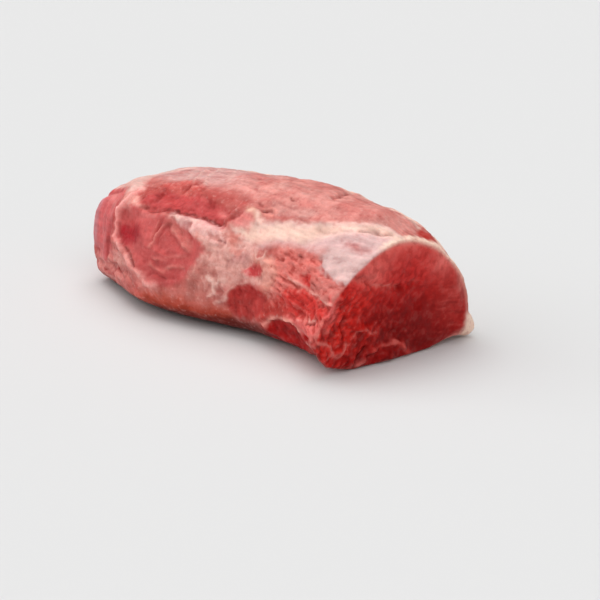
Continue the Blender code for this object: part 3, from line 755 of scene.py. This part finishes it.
# %% Brush touches on the skin, as tone, path, half width and strength
TOUCHES = (
    # crease shade touches paint shade into the creases, slits and grooves
    # the muscle on top
    ("muscle rosy", ((109, 128), (120, 127)), 3.0, 0.5),
    ("shoulder", TOP_FOLDS[0], 1.5, 0.5),
    ("shoulder", TOP_FOLDS[1], 1.4, 0.45),
    ("shoulder", TOP_FOLDS[2], 1.5, 0.4),
    ("shoulder", ((-38, 74), (-26, 88), (-12, 104)), 1.5, 0.4),
    ("shoulder", ((30, 98), (48, 99), (64, 98)), 7.0, 0.22),
    ("shoulder", ((46, 123), (54, 122.5), (64, 119), (74, 115)), 4.0, 0.38),
    ("crease shade", TOP_NICKS[2], 0.9, 0.5),
    ("crease shade", TOP_CRACK[:4], 1.1, 0.5),
    ("crease shade", TOP_NICKS[1], 0.9, 0.5),
    ("crease shade", CORNER_NICK, 0.9, 0.45),
    ("heart low", ((7, 93), (9.5, 95.5)), 1.6, 0.6),
    ("heart low", ((21, 110), (23, 112)), 1.5, 0.4),
    # the left end
    ("left end pale", ((-112, 144), (-98, 146), (-92, 152)), 6.0, 0.6),
    ("heart low", ((-87, 154), (-86.5, 164), (-86, 174), (-89, 186)), 3.0, 0.8),
    ("left end pale", ((-116, 199), (-106, 199)), 4.0, 0.7),
    ("heart low", ((-122, 142), (-108, 140), (-98, 139)), 2.6, 0.6),
    # painted rim light along the far end's outline
    ("end rim light", ((-119, 148), (-120, 165), (-119, 186)), 3.5, 0.7),
    ("heart low", ((-94, 178), (-96, 186), (-97, 194)), 1.4, 0.6),
    ("crease shade", ((-92, 178), (-96, 190)), 1.4, 0.2),
    ("heart low", ((-117, 195), (-115, 196)), 2.0, 0.7),
    # the seam, the hollows above it and its lip
    ("lip", LIP, 2.0, 0.6),
    ("pale scrap and painted light", ((-22, 149.5), (-14, 150.2)), 1.4, 0.7),
    ("pale scrap and painted light", ((-5, 149), (1, 149.4)), 1.3, 0.6),
    ("heart low", ((-38, 124), (-26, 124)), 6.0, 0.25),
    ("heart low", ((-52, 124), (-50, 136)), 2.5, 0.35),
    ("crease shade", CLEFT[:6], 1.2, 0.65),
    ("crease shade", CLEFT[5:], 0.9, 0.75),
    ("muscle rosy", ((-50, 136), (-44, 139), (-38, 141)), 4.0, 0.4),
    ("muscle rosy", ((-58, 133), (-54, 130)), 5.0, 0.2),
    # the heart-shaped hollow
    ("heart low", ((-36, 184), (-24, 186), (-8, 186)), 6.0, 0.6),
    ("ridge", ((-21, 155.5), (-13, 158), (-4, 163)), 4.0, 0.3),
    # the ridge touches on the folds are painted highlight; the heart low touches beside them are painted
    # shade
    ("ridge", FOLDED_V[0], 1.1, 0.32),
    ("ridge", FOLDED_V[1], 1.0, 0.22),
    ("ridge", FOLDED_V[2], 1.1, 0.26),
    ("ridge", HEART_FOLDS[1], 1.0, 0.2),
    ("ridge", HEART_FOLDS[2], 1.0, 0.25),
    ("heart low", BESIDE_V[1], 1.1, 0.5),
    ("heart low", BESIDE_V[0], 1.0, 0.4),
    ("heart low", BESIDE_V[2], 1.1, 0.45),
    ("left end pale", ((-54, 153), (-38, 153.5)), 2.5, 0.4),
    ("pocket", ((-74, 171), (-64, 173), (-54, 171)), 3.0, 0.6),
    # its rim and the fat below
    # painted light on the low fat, standing in for light bounced up from below
    ("pale scrap and painted light", ((-80, 191), (-70, 187), (-60, 187)), 4.0, 0.25),
    ("left end pale", ((-73, 151), (-69, 153)), 3.0, 0.55),
    ("rim", RIM[:10], 2.0, 0.95),
    ("rim low", RIM[9:], 2.2, 0.6),
    ("pale scrap and painted light", ((-80, 132), (-76, 135), (-72, 137)), 3.0, 0.3),
    # painted shade along the lower edge of the fat
    ("oval shade", ((-72, 203), (-58, 198), (-46, 197)), 5.0, 0.35),
    # painted shadow under the overhanging rim
    ("crease shade", RIM_SLIT, 0.8, 0.7),
    ("crease shade", RIM_FOOT[3:], 1.0, 0.3),
    ("crease shade", FOLD, 1.3, 0.15),
    ("heart low", LOW_FOLD, 1.5, 0.6),
    ("crease shade", BELOW_HEART, 1.0, 0.3),
    # the knob at the end of the fat band
    ("knob inside", ((26, 138), (31, 135), (36, 134)), 4.0, 0.7),
    ("knob", ((30, 130), (34, 129.5), (38, 131), (39, 133)), 2.6, 0.85),
    # painted highlight along the knob's right edge
    ("pale scrap and painted light", KNOB[3:], 1.5, 0.75),
    ("knob inside", ((7, 136.5), (17, 138.5)), 2.5, 0.5),
    ("crease shade", TOP_NICKS[0], 1.0, 0.75),
    ("ridge", ((40, 125), (45, 122.5), (50, 124)), 1.2, 0.55),
    ("ridge", ((43, 129), (48, 127.5)), 1.3, 0.55),
    ("heart low", ((26.5, 130.5), (31, 127.6), (36, 126.6), (39.5, 127.6)), 1.0, 0.45),
    ("heart low", KNOB_FOLD, 1.1, 0.6),
    # the mottled film and the dark spots in it
    ("mottled dark", ((46, 150), (56, 147.5), (66, 145.5), (78, 143), (88, 142), (96, 141)), 4.5, 0.5),
    ("ring", RING, 4.4, 0.85),
    ("pale scrap and painted light", CURLS[0], 1.0, 0.9),
    ("pale scrap and painted light", CURLS[1], 1.4, 0.6),
    ("pale scrap and painted light", CURLS[2], 1.0, 0.6),
    # painted shadow beside the curl
    ("heart low", ((24, 189.8), (27, 188)), 1.5, 0.6),
    ("pale scrap and painted light", V_FRAME, 0.9, 0.5),
    ("pale scrap and painted light", OVAL_RIDGE, 1.0, 0.4),
    ("heart low", ((52, 157.5), (54, 158)), 2.2, 0.6),
    ("orange", ((31, 159), (36, 160)), 2.2, 0.6),
    ("crease shade", ((31, 167), (31, 169)), 1.2, 0.5),
    ("crease shade", ((36, 189), (35, 196), (36, 204)), 0.9, 0.35),
    ("crease shade", ((42, 186), (41, 194)), 0.8, 0.25),
    ("crease shade", ((36, 204.5), (43, 206)), 1.4, 0.35),
    ("mottled dark", ((20, 175), (27, 180), (35, 178)), 5.0, 0.3),
    ("crease shade", ((20, 156), (24, 156.5)), 1.0, 0.5),
    ("crease shade", ((30, 168), (30, 172)), 1.2, 0.4),
    # the torn flank and the lower lobe
    ("ridge", LOW_RIDGE, 1.7, 0.85),
    # painted shade in the fold between the lower lobe and the cut
    ("lower lobe", ((94, 205.5), (99, 204), (106, 201), (114, 197.5), (122, 196)), 3.0, 0.85),
    ("pink skin", ((121, 169), (122.5, 175), (123, 181)), 2.0, 0.8),
    ("pale scrap and painted light", PINK_LINE, 1.1, 0.4),
    ("pale scrap and painted light", ((105, 187), (109, 186.2), (113, 185.2)), 0.8, 0.4),
    ("crease shade", SLIT, 0.8, 0.7),
    ("crease shade", ((69, 156), (71, 156.5)), 1.5, 0.6),
    ("crease shade", ((77, 155), (79, 155.5)), 1.3, 0.6),
    ("crease shade", ((81, 149), (83, 149.5)), 1.4, 0.6),
    ("crease shade", ((71, 151), (74, 151)), 1.3, 0.5),
)
print("touches on the skin:", len(TOUCHES))

# %% Washes on the cut, as tone, centre, half sizes and strength
FACE_WASHES = (
    # cut top washes: the face's own pinker top with painted light on it; cut dark washes make it darker
    # towards its foot
    ("cut top", (-6, 77), (34, 13), 0.95), ("cut top", (-24, 61), (13, 8), 0.75),
    ("cut upper", (8, 56), (30, 13), 0.7), ("cut upper", (-36, 52), (9, 7), 0.7),
    ("cut right", (40, 34), (16, 22), 0.75), ("cut left", (-50, 30), (17, 20), 0.85),
    ("cut left", (-32, 44), (10, 8), 0.4), ("cut dark", (6, 20), (26, 15), 0.8),
    ("cut dark", (24, 8), (20, 8), 0.7), ("cut dark", (-16, 30), (9, 6), 0.5),
    ("cut lobe", (-8, 6), (14, 6), 0.7), ("cut top", (30, 58), (12, 9), 0.85),
    ("cut top", (-27, 56), (8, 5), 0.6), ("cut left", (-28, 20), (9, 6), 0.4),
    ("cut dark", (-33, 18), (9, 7), 0.4),
)
print("washes on the cut:", len(FACE_WASHES))

# %% Brush touches on the cut, as tone, path, half width and strength
FACE_TOUCHES = (
    # crease shade touches paint shade into the folds and slits of the cut
    ("pink skin", ((-52, 49), (-53, 43), (-51, 37)), 3.0, 0.9),
    ("pink skin", ((-56, 38), (-59, 31)), 3.0, 0.6),
    # pale strokes along the step at the upper left of the face: painted glints
    ("cut shreds and glints", ((-43, 57), (-38, 58), (-32, 56)), 2.0, 0.5),
    ("cut net", ((-37, 58), (-29, 54.5), (-20, 50.8), (-6, 47)), 1.5, 0.6),
    ("cut shreds and glints", ((-24, 52), (-20, 50.5), (-13, 49.5)), 1.0, 0.7),
    ("cut shreds and glints", HORN, 1.1, 0.8),
    ("cut shreds and glints", ((-58, 29), (-54, 30), (-51, 26)), 1.0, 0.45),
    ("crease shade", ((-63, 26.5), (-58, 25), (-54.5, 23)), 0.9, 0.55),
    ("cut shreds and glints", ((-36, 21), (-34, 23), (-31, 24)), 0.9, 0.6),
    ("cut shreds and glints", ((-29, 25), (-24, 21), (-20, 20)), 0.9, 0.5),
    ("cut shreds and glints", ((-29, 65), (-26, 67), (-23, 68)), 1.6, 0.35),
    # painted shadow in the valley above the lobe
    ("crease shade", ((-24, 14), (-15, 16), (-7, 16.5), (0, 13), (9, 6)), 2.0, 0.45),
    ("cut", ((-20, 8), (-14, 10), (-7, 10.5), (-2, 8), (5, 2.5)), 3.0, 0.6),
    ("cut net", LOBE_CREST, 1.1, 0.5),
    # painted glints on the lobe's crest
    ("cut shreds and glints", ((-11, 13), (-7, 13.2), (-4, 12)), 0.8, 0.4),
    ("cut shreds and glints", ((0, 9), (3, 6.5)), 0.8, 0.35),
    ("cut shreds and glints", ((-42, -1), (-34, 2), (-28, 4)), 2.2, 0.8),
    ("cut edge", ((30, 64), (37, 56), (41, 48), (44, 38)), 2.5, 0.5),
    ("crease shade", ((-38, 59.5), (-28, 56)), 0.9, 0.35),
    ("crease shade", LOBE_SLIT, 1.3, 0.5),
    ("crease shade", ((-24, 6), (-14, 9), (-5, 9)), 1.2, 0.35),
    ("crease shade", ((-45, 29), (-41, 36)), 1.1, 0.35),
)
print("touches on the cut:", len(FACE_TOUCHES))


# %% Brushes for the paint
def tint(picked):
    """Turn a 0 to 255 pick into the linear light that shaders use."""
    share = np.asarray(picked) / 255.0
    return np.where(share <= 0.04045, share / 12.92, ((share + 0.055) / 1.055) ** 2.4)


def lay(amount, name):
    """Lay a named tone over the paint, as strongly as amount says at each point."""
    amount = np.clip(amount, 0.0, 1.0)[:, None]
    paint[:] = paint * (1.0 - amount) + tint(TONES[name]) * amount


# %% Paint the skin
BROKEN_BASE, BROKEN_SWELL = 0.45, 0.55  # a touch is broken up as a dry brush would do it

paint = np.tile(tint(TONES["muscle"]), (len(points), 1))
lay(smoothstep(30.0, -40.0, along) * smoothstep(128.0, 110.0, around), "muscle left")
lay(0.3 * smoothstep(-0.6, 1.4, lumps) + 0.5 * smoothstep(112.0, 130.0, around), "muscle rosy")
for name, tone, strength in LAYERS:
    lay(strength * masks[name], tone)
    if name == "mottled":
        lay(masks["mottled"] * 0.35 * smoothstep(0.1, 1.4, crinkle), "mottled dark")
broken = np.clip(BROKEN_BASE + BROKEN_SWELL * swell, 0.0, 1.15)
for tone, path, half_width, strength in TOUCHES:
    lay(strength * broken * stroke(lines_a, lines_b, path, half_width), tone)
print("skin painted, mean", paint.mean(axis=0).round(3))

# %% Fat around the cut, the fat of the back and the far end
FLAP_ACROSS, FLAP_HEIGHT, FLAP_ALONG = (47.0, 54.0), (21.0, 14.0), (112.0, 120.0)
CUT_RIM_DEPTH, CUT_RIM_FRONT, CUT_RIM_BACK = (7.0, 2.5), (128.0, 108.0), (-20.0, 25.0)

flap = smoothstep(*FLAP_ACROSS, across + 0.5 * fray_a) * smoothstep(*FLAP_HEIGHT, height)
flap *= smoothstep(*FLAP_ALONG, along)
lay(flap, "cut rim")
cut_rim = smoothstep(*CUT_RIM_DEPTH, behind_cut + fray_a)
cut_rim *= smoothstep(*CUT_RIM_FRONT, around) * smoothstep(*CUT_RIM_BACK, around)
lay(0.95 * cut_rim * (1.0 - masks["white patch"]) * (1.0 - masks["notch"]), "cut rim")
lay(masks["back fat"] * 0.45 * smoothstep(0.2, 1.5, lumps), "shoulder")
lay(masks["back fat"] * 0.35 * smoothstep(0.9, 1.9, -lumps), "mottled dark")
lay(far_end, "left end")
lay(far_end * 0.18 * smoothstep(0.0, 1.6, folds + 0.5 * lumps), "left end pale")
lay(far_end * 0.4 * smoothstep(0.1, 1.6, -lumps), "heart low")
stain = 1.0 + 0.05 * folds + 0.05 * long_folds * (1.0 - far_end)
paint *= np.clip(stain, 0.8, 1.2)[:, None]
skin_paint = paint.copy()
print("fat flap covers", int(flap.sum()), "points")

# %% Paint the cut
paint[:] = tint(TONES["cut"])
for tone, place, size, strength in FACE_WASHES:
    lay(strength * spot(face_a, face_b, place, size), tone)
lay((0.03 + 0.12 * rough_cut + 0.12 * shredded) * smoothstep(0.5, 1.0, bundle), "cut net")
lay((0.10 + 0.28 * rough_cut + 0.10 * shredded) * smoothstep(0.5, 0.0, bundle), "cut dark")
lay(0.30 * right_edge * smoothstep(0.5, 1.6, face_curves), "cut dark")
lay(0.25 * right_edge * smoothstep(-0.6, -1.6, face_curves), "cut net")
# pale flecks on the shreds: painted glints, as highlight
lay(shredded * 0.35 * smoothstep(1.1, 2.0, face_shreds), "cut shreds and glints")
lay(shredded * 0.30 * smoothstep(-0.6, -1.6, face_shreds), "cut dark")
for tone, path, half_width, strength in FACE_TOUCHES:
    lay(strength * stroke(face_a, face_b, path, half_width), tone)
# painted light where the face's top edge turns up towards the lights
upper_turn = smoothstep(0.97, 0.80, facing_cut) * smoothstep(40.0, 70.0, across + height)
lay(0.55 * upper_turn, "cut edge")
lay(flap, "cut rim")
paint = skin_paint * skin[:, None] + paint * on_cut[:, None]
print("joint painted, mean", paint.mean(axis=0).round(3))

# %% [markdown]
# ## Masks for the shader
#
# The shader has to know more than the colour: where there is fat, where bare muscle,
# where the cut and its shreds are, and how high the fine relief stands. Each of these is
# stored on the mesh as an attribute that a node can read.

# %% Store the paint and the masks
def store(piece, name, values):
    attribute = piece.data.attributes.new(name, "FLOAT", "POINT")
    attribute.data.foreach_set("value", np.clip(values, 0.0, 1.0).astype(np.float32))


fat_share = covered("band", "white patch", "back fat", "shoulder") * 0.9 + 0.5 * masks["mottled"]
fat_share = np.clip(fat_share, 0.0, 1.0) * (1.0 - covered("ragged", "heart")) * skin
bare_share = covered("heart", "seam hollow", "ragged", "oval", "lower lobe", "left end", "notch")
# level is the height of the fine relief and its creases; the shader paints shade in its hollows and a
# highlight on its crests
skin_level = 0.50 * fine + 0.13 * line_relief
face_level = 0.42 * face_fine + 0.16 * face_lines

painted = joint.data.attributes.new("paint", "FLOAT_COLOR", "POINT")
rgba = np.column_stack([paint, np.ones(len(paint))])
painted.data.foreach_set("color", rgba.astype(np.float32).ravel())
store(joint, "level", 0.5 + skin_level * skin + face_level * on_cut)
store(joint, "fat", fat_share)
store(joint, "bare", bare_share + on_cut + far_end)
store(joint, "cut", on_cut)
store(joint, "shreds", np.maximum(masks["ragged"] * skin, shredded * on_cut))
print("stored", [a.name for a in joint.data.attributes if a.name[0] != "."])

# %% [markdown]
# ## Shader sums
#
# Shader nodes are wired in code. A small class wraps a socket, so that a mask can be
# written as a sum, such as 1 - mask * 0.5, and Python adds the Math nodes.

# %% A socket that can be used in sums
class Paint:
    tree = None

    def __init__(self, socket):
        self.socket = socket

    @classmethod
    def node(cls, kind, settings=None, inputs=None, output=0):
        made = cls.tree.nodes.new(kind)
        for name, value in (settings or {}).items():
            setattr(made, name, value)
        for name, value in (inputs or {}).items():
            socket = made.inputs[name]
            if isinstance(value, Paint):
                cls.tree.links.new(value.socket, socket)
            else:
                socket.default_value = value
        return cls(made.outputs[output])

    def sum(self, operation, other):
        return Paint.node("ShaderNodeMath", {"operation": operation}, {0: self, 1: other})

    def __add__(self, other):
        return self.sum("ADD", other)

    def __mul__(self, other):
        return self.sum("MULTIPLY", other)

    def __sub__(self, other):
        return self.sum("SUBTRACT", other)

    def __rsub__(self, other):
        return Paint.node("ShaderNodeMath", {"operation": "SUBTRACT"}, {0: other, 1: self})

    __radd__ = __add__
    __rmul__ = __mul__

    def between(self, low, high):
        return Paint.node("ShaderNodeMapRange", {"interpolation_type": "SMOOTHSTEP"},
                          {"Value": self, "From Min": low, "From Max": high})


def mixed(first, second, factor, blend="MIX"):
    return Paint.node("ShaderNodeMix", {"data_type": "RGBA", "blend_type": blend},
                      {0: factor, 6: first, 7: second}, 2)


def colour(red, green, blue):
    return (red, green, blue, 1.0)


# %% [markdown]
# ## The raw beef finish
#
# One material serves the whole joint. The painted tone gets painted shade in the hollows
# of the fine relief and a painted highlight on its crests, then it is broken up by flecks
# and fibres a millimetre or two long. Raw meat is damp rather than shiny: the gloss is
# low, with small wet spots that catch the light, more of them on film and fat than on the cut.

# %% Build the raw beef material
def mask(name):
    return Paint.node("ShaderNodeAttribute", {"attribute_name": name}, output="Fac")


beef = bpy.data.materials.new("raw_beef")
beef.use_nodes = True
Paint.tree = beef.node_tree
shader = beef.node_tree.nodes["Principled BSDF"]
place = Paint.node("ShaderNodeTexCoord", output="Object")


def fine_noise(pitch_mm, detail=3.0, distortion=0.0, vector=place):
    return Paint.node("ShaderNodeTexNoise", {}, {"Vector": vector, "Scale": 1000.0 / pitch_mm,
                                                 "Detail": detail, "Distortion": distortion}, "Fac")


def stretched(turn, scale):
    return Paint.node("ShaderNodeMapping", {}, {"Vector": place, "Rotation": turn, "Scale": scale})


cut, fat, bare = mask("cut"), mask("fat"), mask("bare")
shreds, raised = mask("shreds"), mask("level")
fleck = fine_noise(2.6, 4.0)
strand = fine_noise(2.2, 3.0, 0.5, stretched((0.0, 0.4, 0.5), (0.22, 1.0, 1.0)))
pore = fine_noise(1.2, 2.0)
damp = fine_noise(5.0, 3.0)
cloud = fine_noise(4.4, 2.0)
print("noises and masks:", len(beef.node_tree.nodes), "nodes")

# %% Break up the painted tone
HOLLOW_SHADE, CREST_HIGHLIGHT = colour(0.62, 0.30, 0.28), colour(0.90, 0.58, 0.52)
FLECK_SHADE, FLECK_PALE = colour(0.78, 0.55, 0.53), colour(0.90, 0.60, 0.54)
STRAND_SHADE, PORE_SHADE = colour(0.80, 0.58, 0.56), colour(0.88, 0.72, 0.72)
CUT_SHADE, CUT_PALE = colour(0.60, 0.34, 0.34), colour(0.85, 0.36, 0.32)

# painted shade in the hollows of the relief and a painted highlight on its crests
hollows = raised.between(0.50, 0.15) * (0.75 - fat * 0.40)
crest_highlight = raised.between(0.54, 0.88) * (0.30 - bare * 0.22 - cut * 0.05)
dark_flecks = fleck.between(0.50, 0.34) * (0.30 - fat * 0.18 - cut * 0.16)
pale_flecks = fleck.between(0.54, 0.72) * (0.16 - bare * 0.12 - cut * 0.03)
strand_lines = strand.between(0.50, 0.34) * (1.0 - cut) * 0.12

tone = Paint.node("ShaderNodeAttribute", {"attribute_name": "paint"}, output="Color")
tone = mixed(tone, HOLLOW_SHADE, hollows, "MULTIPLY")
tone = mixed(tone, CREST_HIGHLIGHT, crest_highlight)
tone = mixed(tone, FLECK_SHADE, dark_flecks, "MULTIPLY")
tone = mixed(tone, FLECK_PALE, pale_flecks)
tone = mixed(tone, STRAND_SHADE, strand_lines, "MULTIPLY")
tone = mixed(tone, CUT_SHADE, cloud.between(0.50, 0.36) * cut * 0.40, "MULTIPLY")
tone = mixed(tone, CUT_PALE, cloud.between(0.52, 0.68) * cut * 0.05)
tone = mixed(tone, PORE_SHADE, pore.between(0.48, 0.36) * 0.3, "MULTIPLY")
print("tone done:", len(beef.node_tree.nodes), "nodes")

# %% Damp gloss, fine bump and the shader's sockets
rough = 0.50 + (pore - 0.5) * 0.2 - bare * 0.06 + fat * 0.04
wet = damp.between(0.54, 0.68) * pore.between(0.46, 0.60) * (0.35 + fat * 0.25 - cut * 0.22)

bumps = fleck * (0.18 - cut * 0.13) + strand * (0.06 - cut * 0.06) + pore * 0.07
bumps = bumps + cloud * cut * 0.22 + shreds * fine_noise(1.8, 3.0) * 0.2
relief_bump = Paint.node("ShaderNodeBump", {},
                         {"Strength": 0.8, "Distance": 1.0 * MM, "Height": bumps}, "Normal")

for name, value in (("Base Color", tone), ("Roughness", rough), ("Coat Weight", wet),
                    ("Normal", relief_bump)):
    Paint.tree.links.new(value.socket, shader.inputs[name])
for name, value in (("Specular IOR Level", 0.10), ("Subsurface Weight", 0.10),
                    ("Subsurface Scale", 3.0 * MM), ("Coat Roughness", 0.16), ("Coat IOR", 1.42)):
    shader.inputs[name].default_value = value
shader.inputs["Subsurface Radius"].default_value = (1.0, 0.35, 0.25)
joint.data.materials.append(beef)
print("raw beef uses", len(beef.node_tree.nodes), "nodes")

# %% Hand the joint over to the frame
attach(joint, "root")
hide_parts("eye_of_round")
print(joint.name, "stands for", node.name)

# %% [markdown]
# ## Floor, light and camera
#
# A plain pale floor and soft light from above and behind, as on a photo table: the top
# is bright, the flank is softly lit from the left, and the cut face falls into shade
# towards its foot. The camera looks slightly down on the corner between flank and cut.

# %% Floor
FLOOR_SIZE = 14.0
FLOOR_GREY, FLOOR_ROUGHNESS = 0.64, 0.9

deselect()
bpy.ops.mesh.primitive_plane_add(size=FLOOR_SIZE, location=(0.0, 0.0, 0.0))
floor = bpy.context.object
floor.name = "floor"
pale = bpy.data.materials.new("pale_floor")
pale.use_nodes = True
floor_shader = pale.node_tree.nodes["Principled BSDF"]
floor_shader.inputs["Base Color"].default_value = colour(FLOOR_GREY, FLOOR_GREY, FLOOR_GREY)
floor_shader.inputs["Roughness"].default_value = FLOOR_ROUGHNESS
floor_shader.inputs["Specular IOR Level"].default_value = 0.0
floor.data.materials.append(pale)
print("floor is", FLOOR_SIZE, "m wide")

# %% Lights
def soft_sun(name, azimuth, elevation, strength, spread):
    """A distant soft light; azimuth is measured from +X towards +Y, in degrees."""
    turn = (0.0, math.radians(90.0 - elevation), math.radians(azimuth))
    bpy.ops.object.light_add(type="SUN", rotation=turn)
    light = bpy.context.object
    light.name = name
    light.data.energy = strength
    light.data.angle = math.radians(spread)
    return light


SKY_STRENGTH = 0.22

soft_sun("overhead_key", azimuth=150.0, elevation=75.0, strength=1.8, spread=60.0)
soft_sun("left_fill", azimuth=-135.0, elevation=34.0, strength=1.4, spread=70.0)
soft_sun("right_fill", azimuth=-25.0, elevation=42.0, strength=1.2, spread=50.0)
world = bpy.data.worlds.new("studio")
bpy.context.scene.world = world
world.use_nodes = True
sky = world.node_tree.nodes["Background"]
sky.inputs["Color"].default_value = colour(1.0, 1.0, 1.0)
sky.inputs["Strength"].default_value = SKY_STRENGTH
bpy.context.scene.view_settings.view_transform = "Standard"

# %% Camera
LENS, SENSOR_WIDTH = 79.2, 36.0
CLIP_START = 0.01
CAMERA_PLACE = (0.62631, -0.54737, 0.28098)
LOOK_DOWN, LOOK_ROUND = 18.3, 47.0

bpy.ops.object.camera_add(location=CAMERA_PLACE,
                          rotation=(math.radians(90.0 - LOOK_DOWN), 0.0, math.radians(LOOK_ROUND)))
camera = bpy.context.object
camera.data.lens = LENS
camera.data.sensor_width = SENSOR_WIDTH
camera.data.clip_start = CLIP_START
bpy.context.scene.camera = camera
print("camera", round(camera.location.length, 2), "m from the joint")
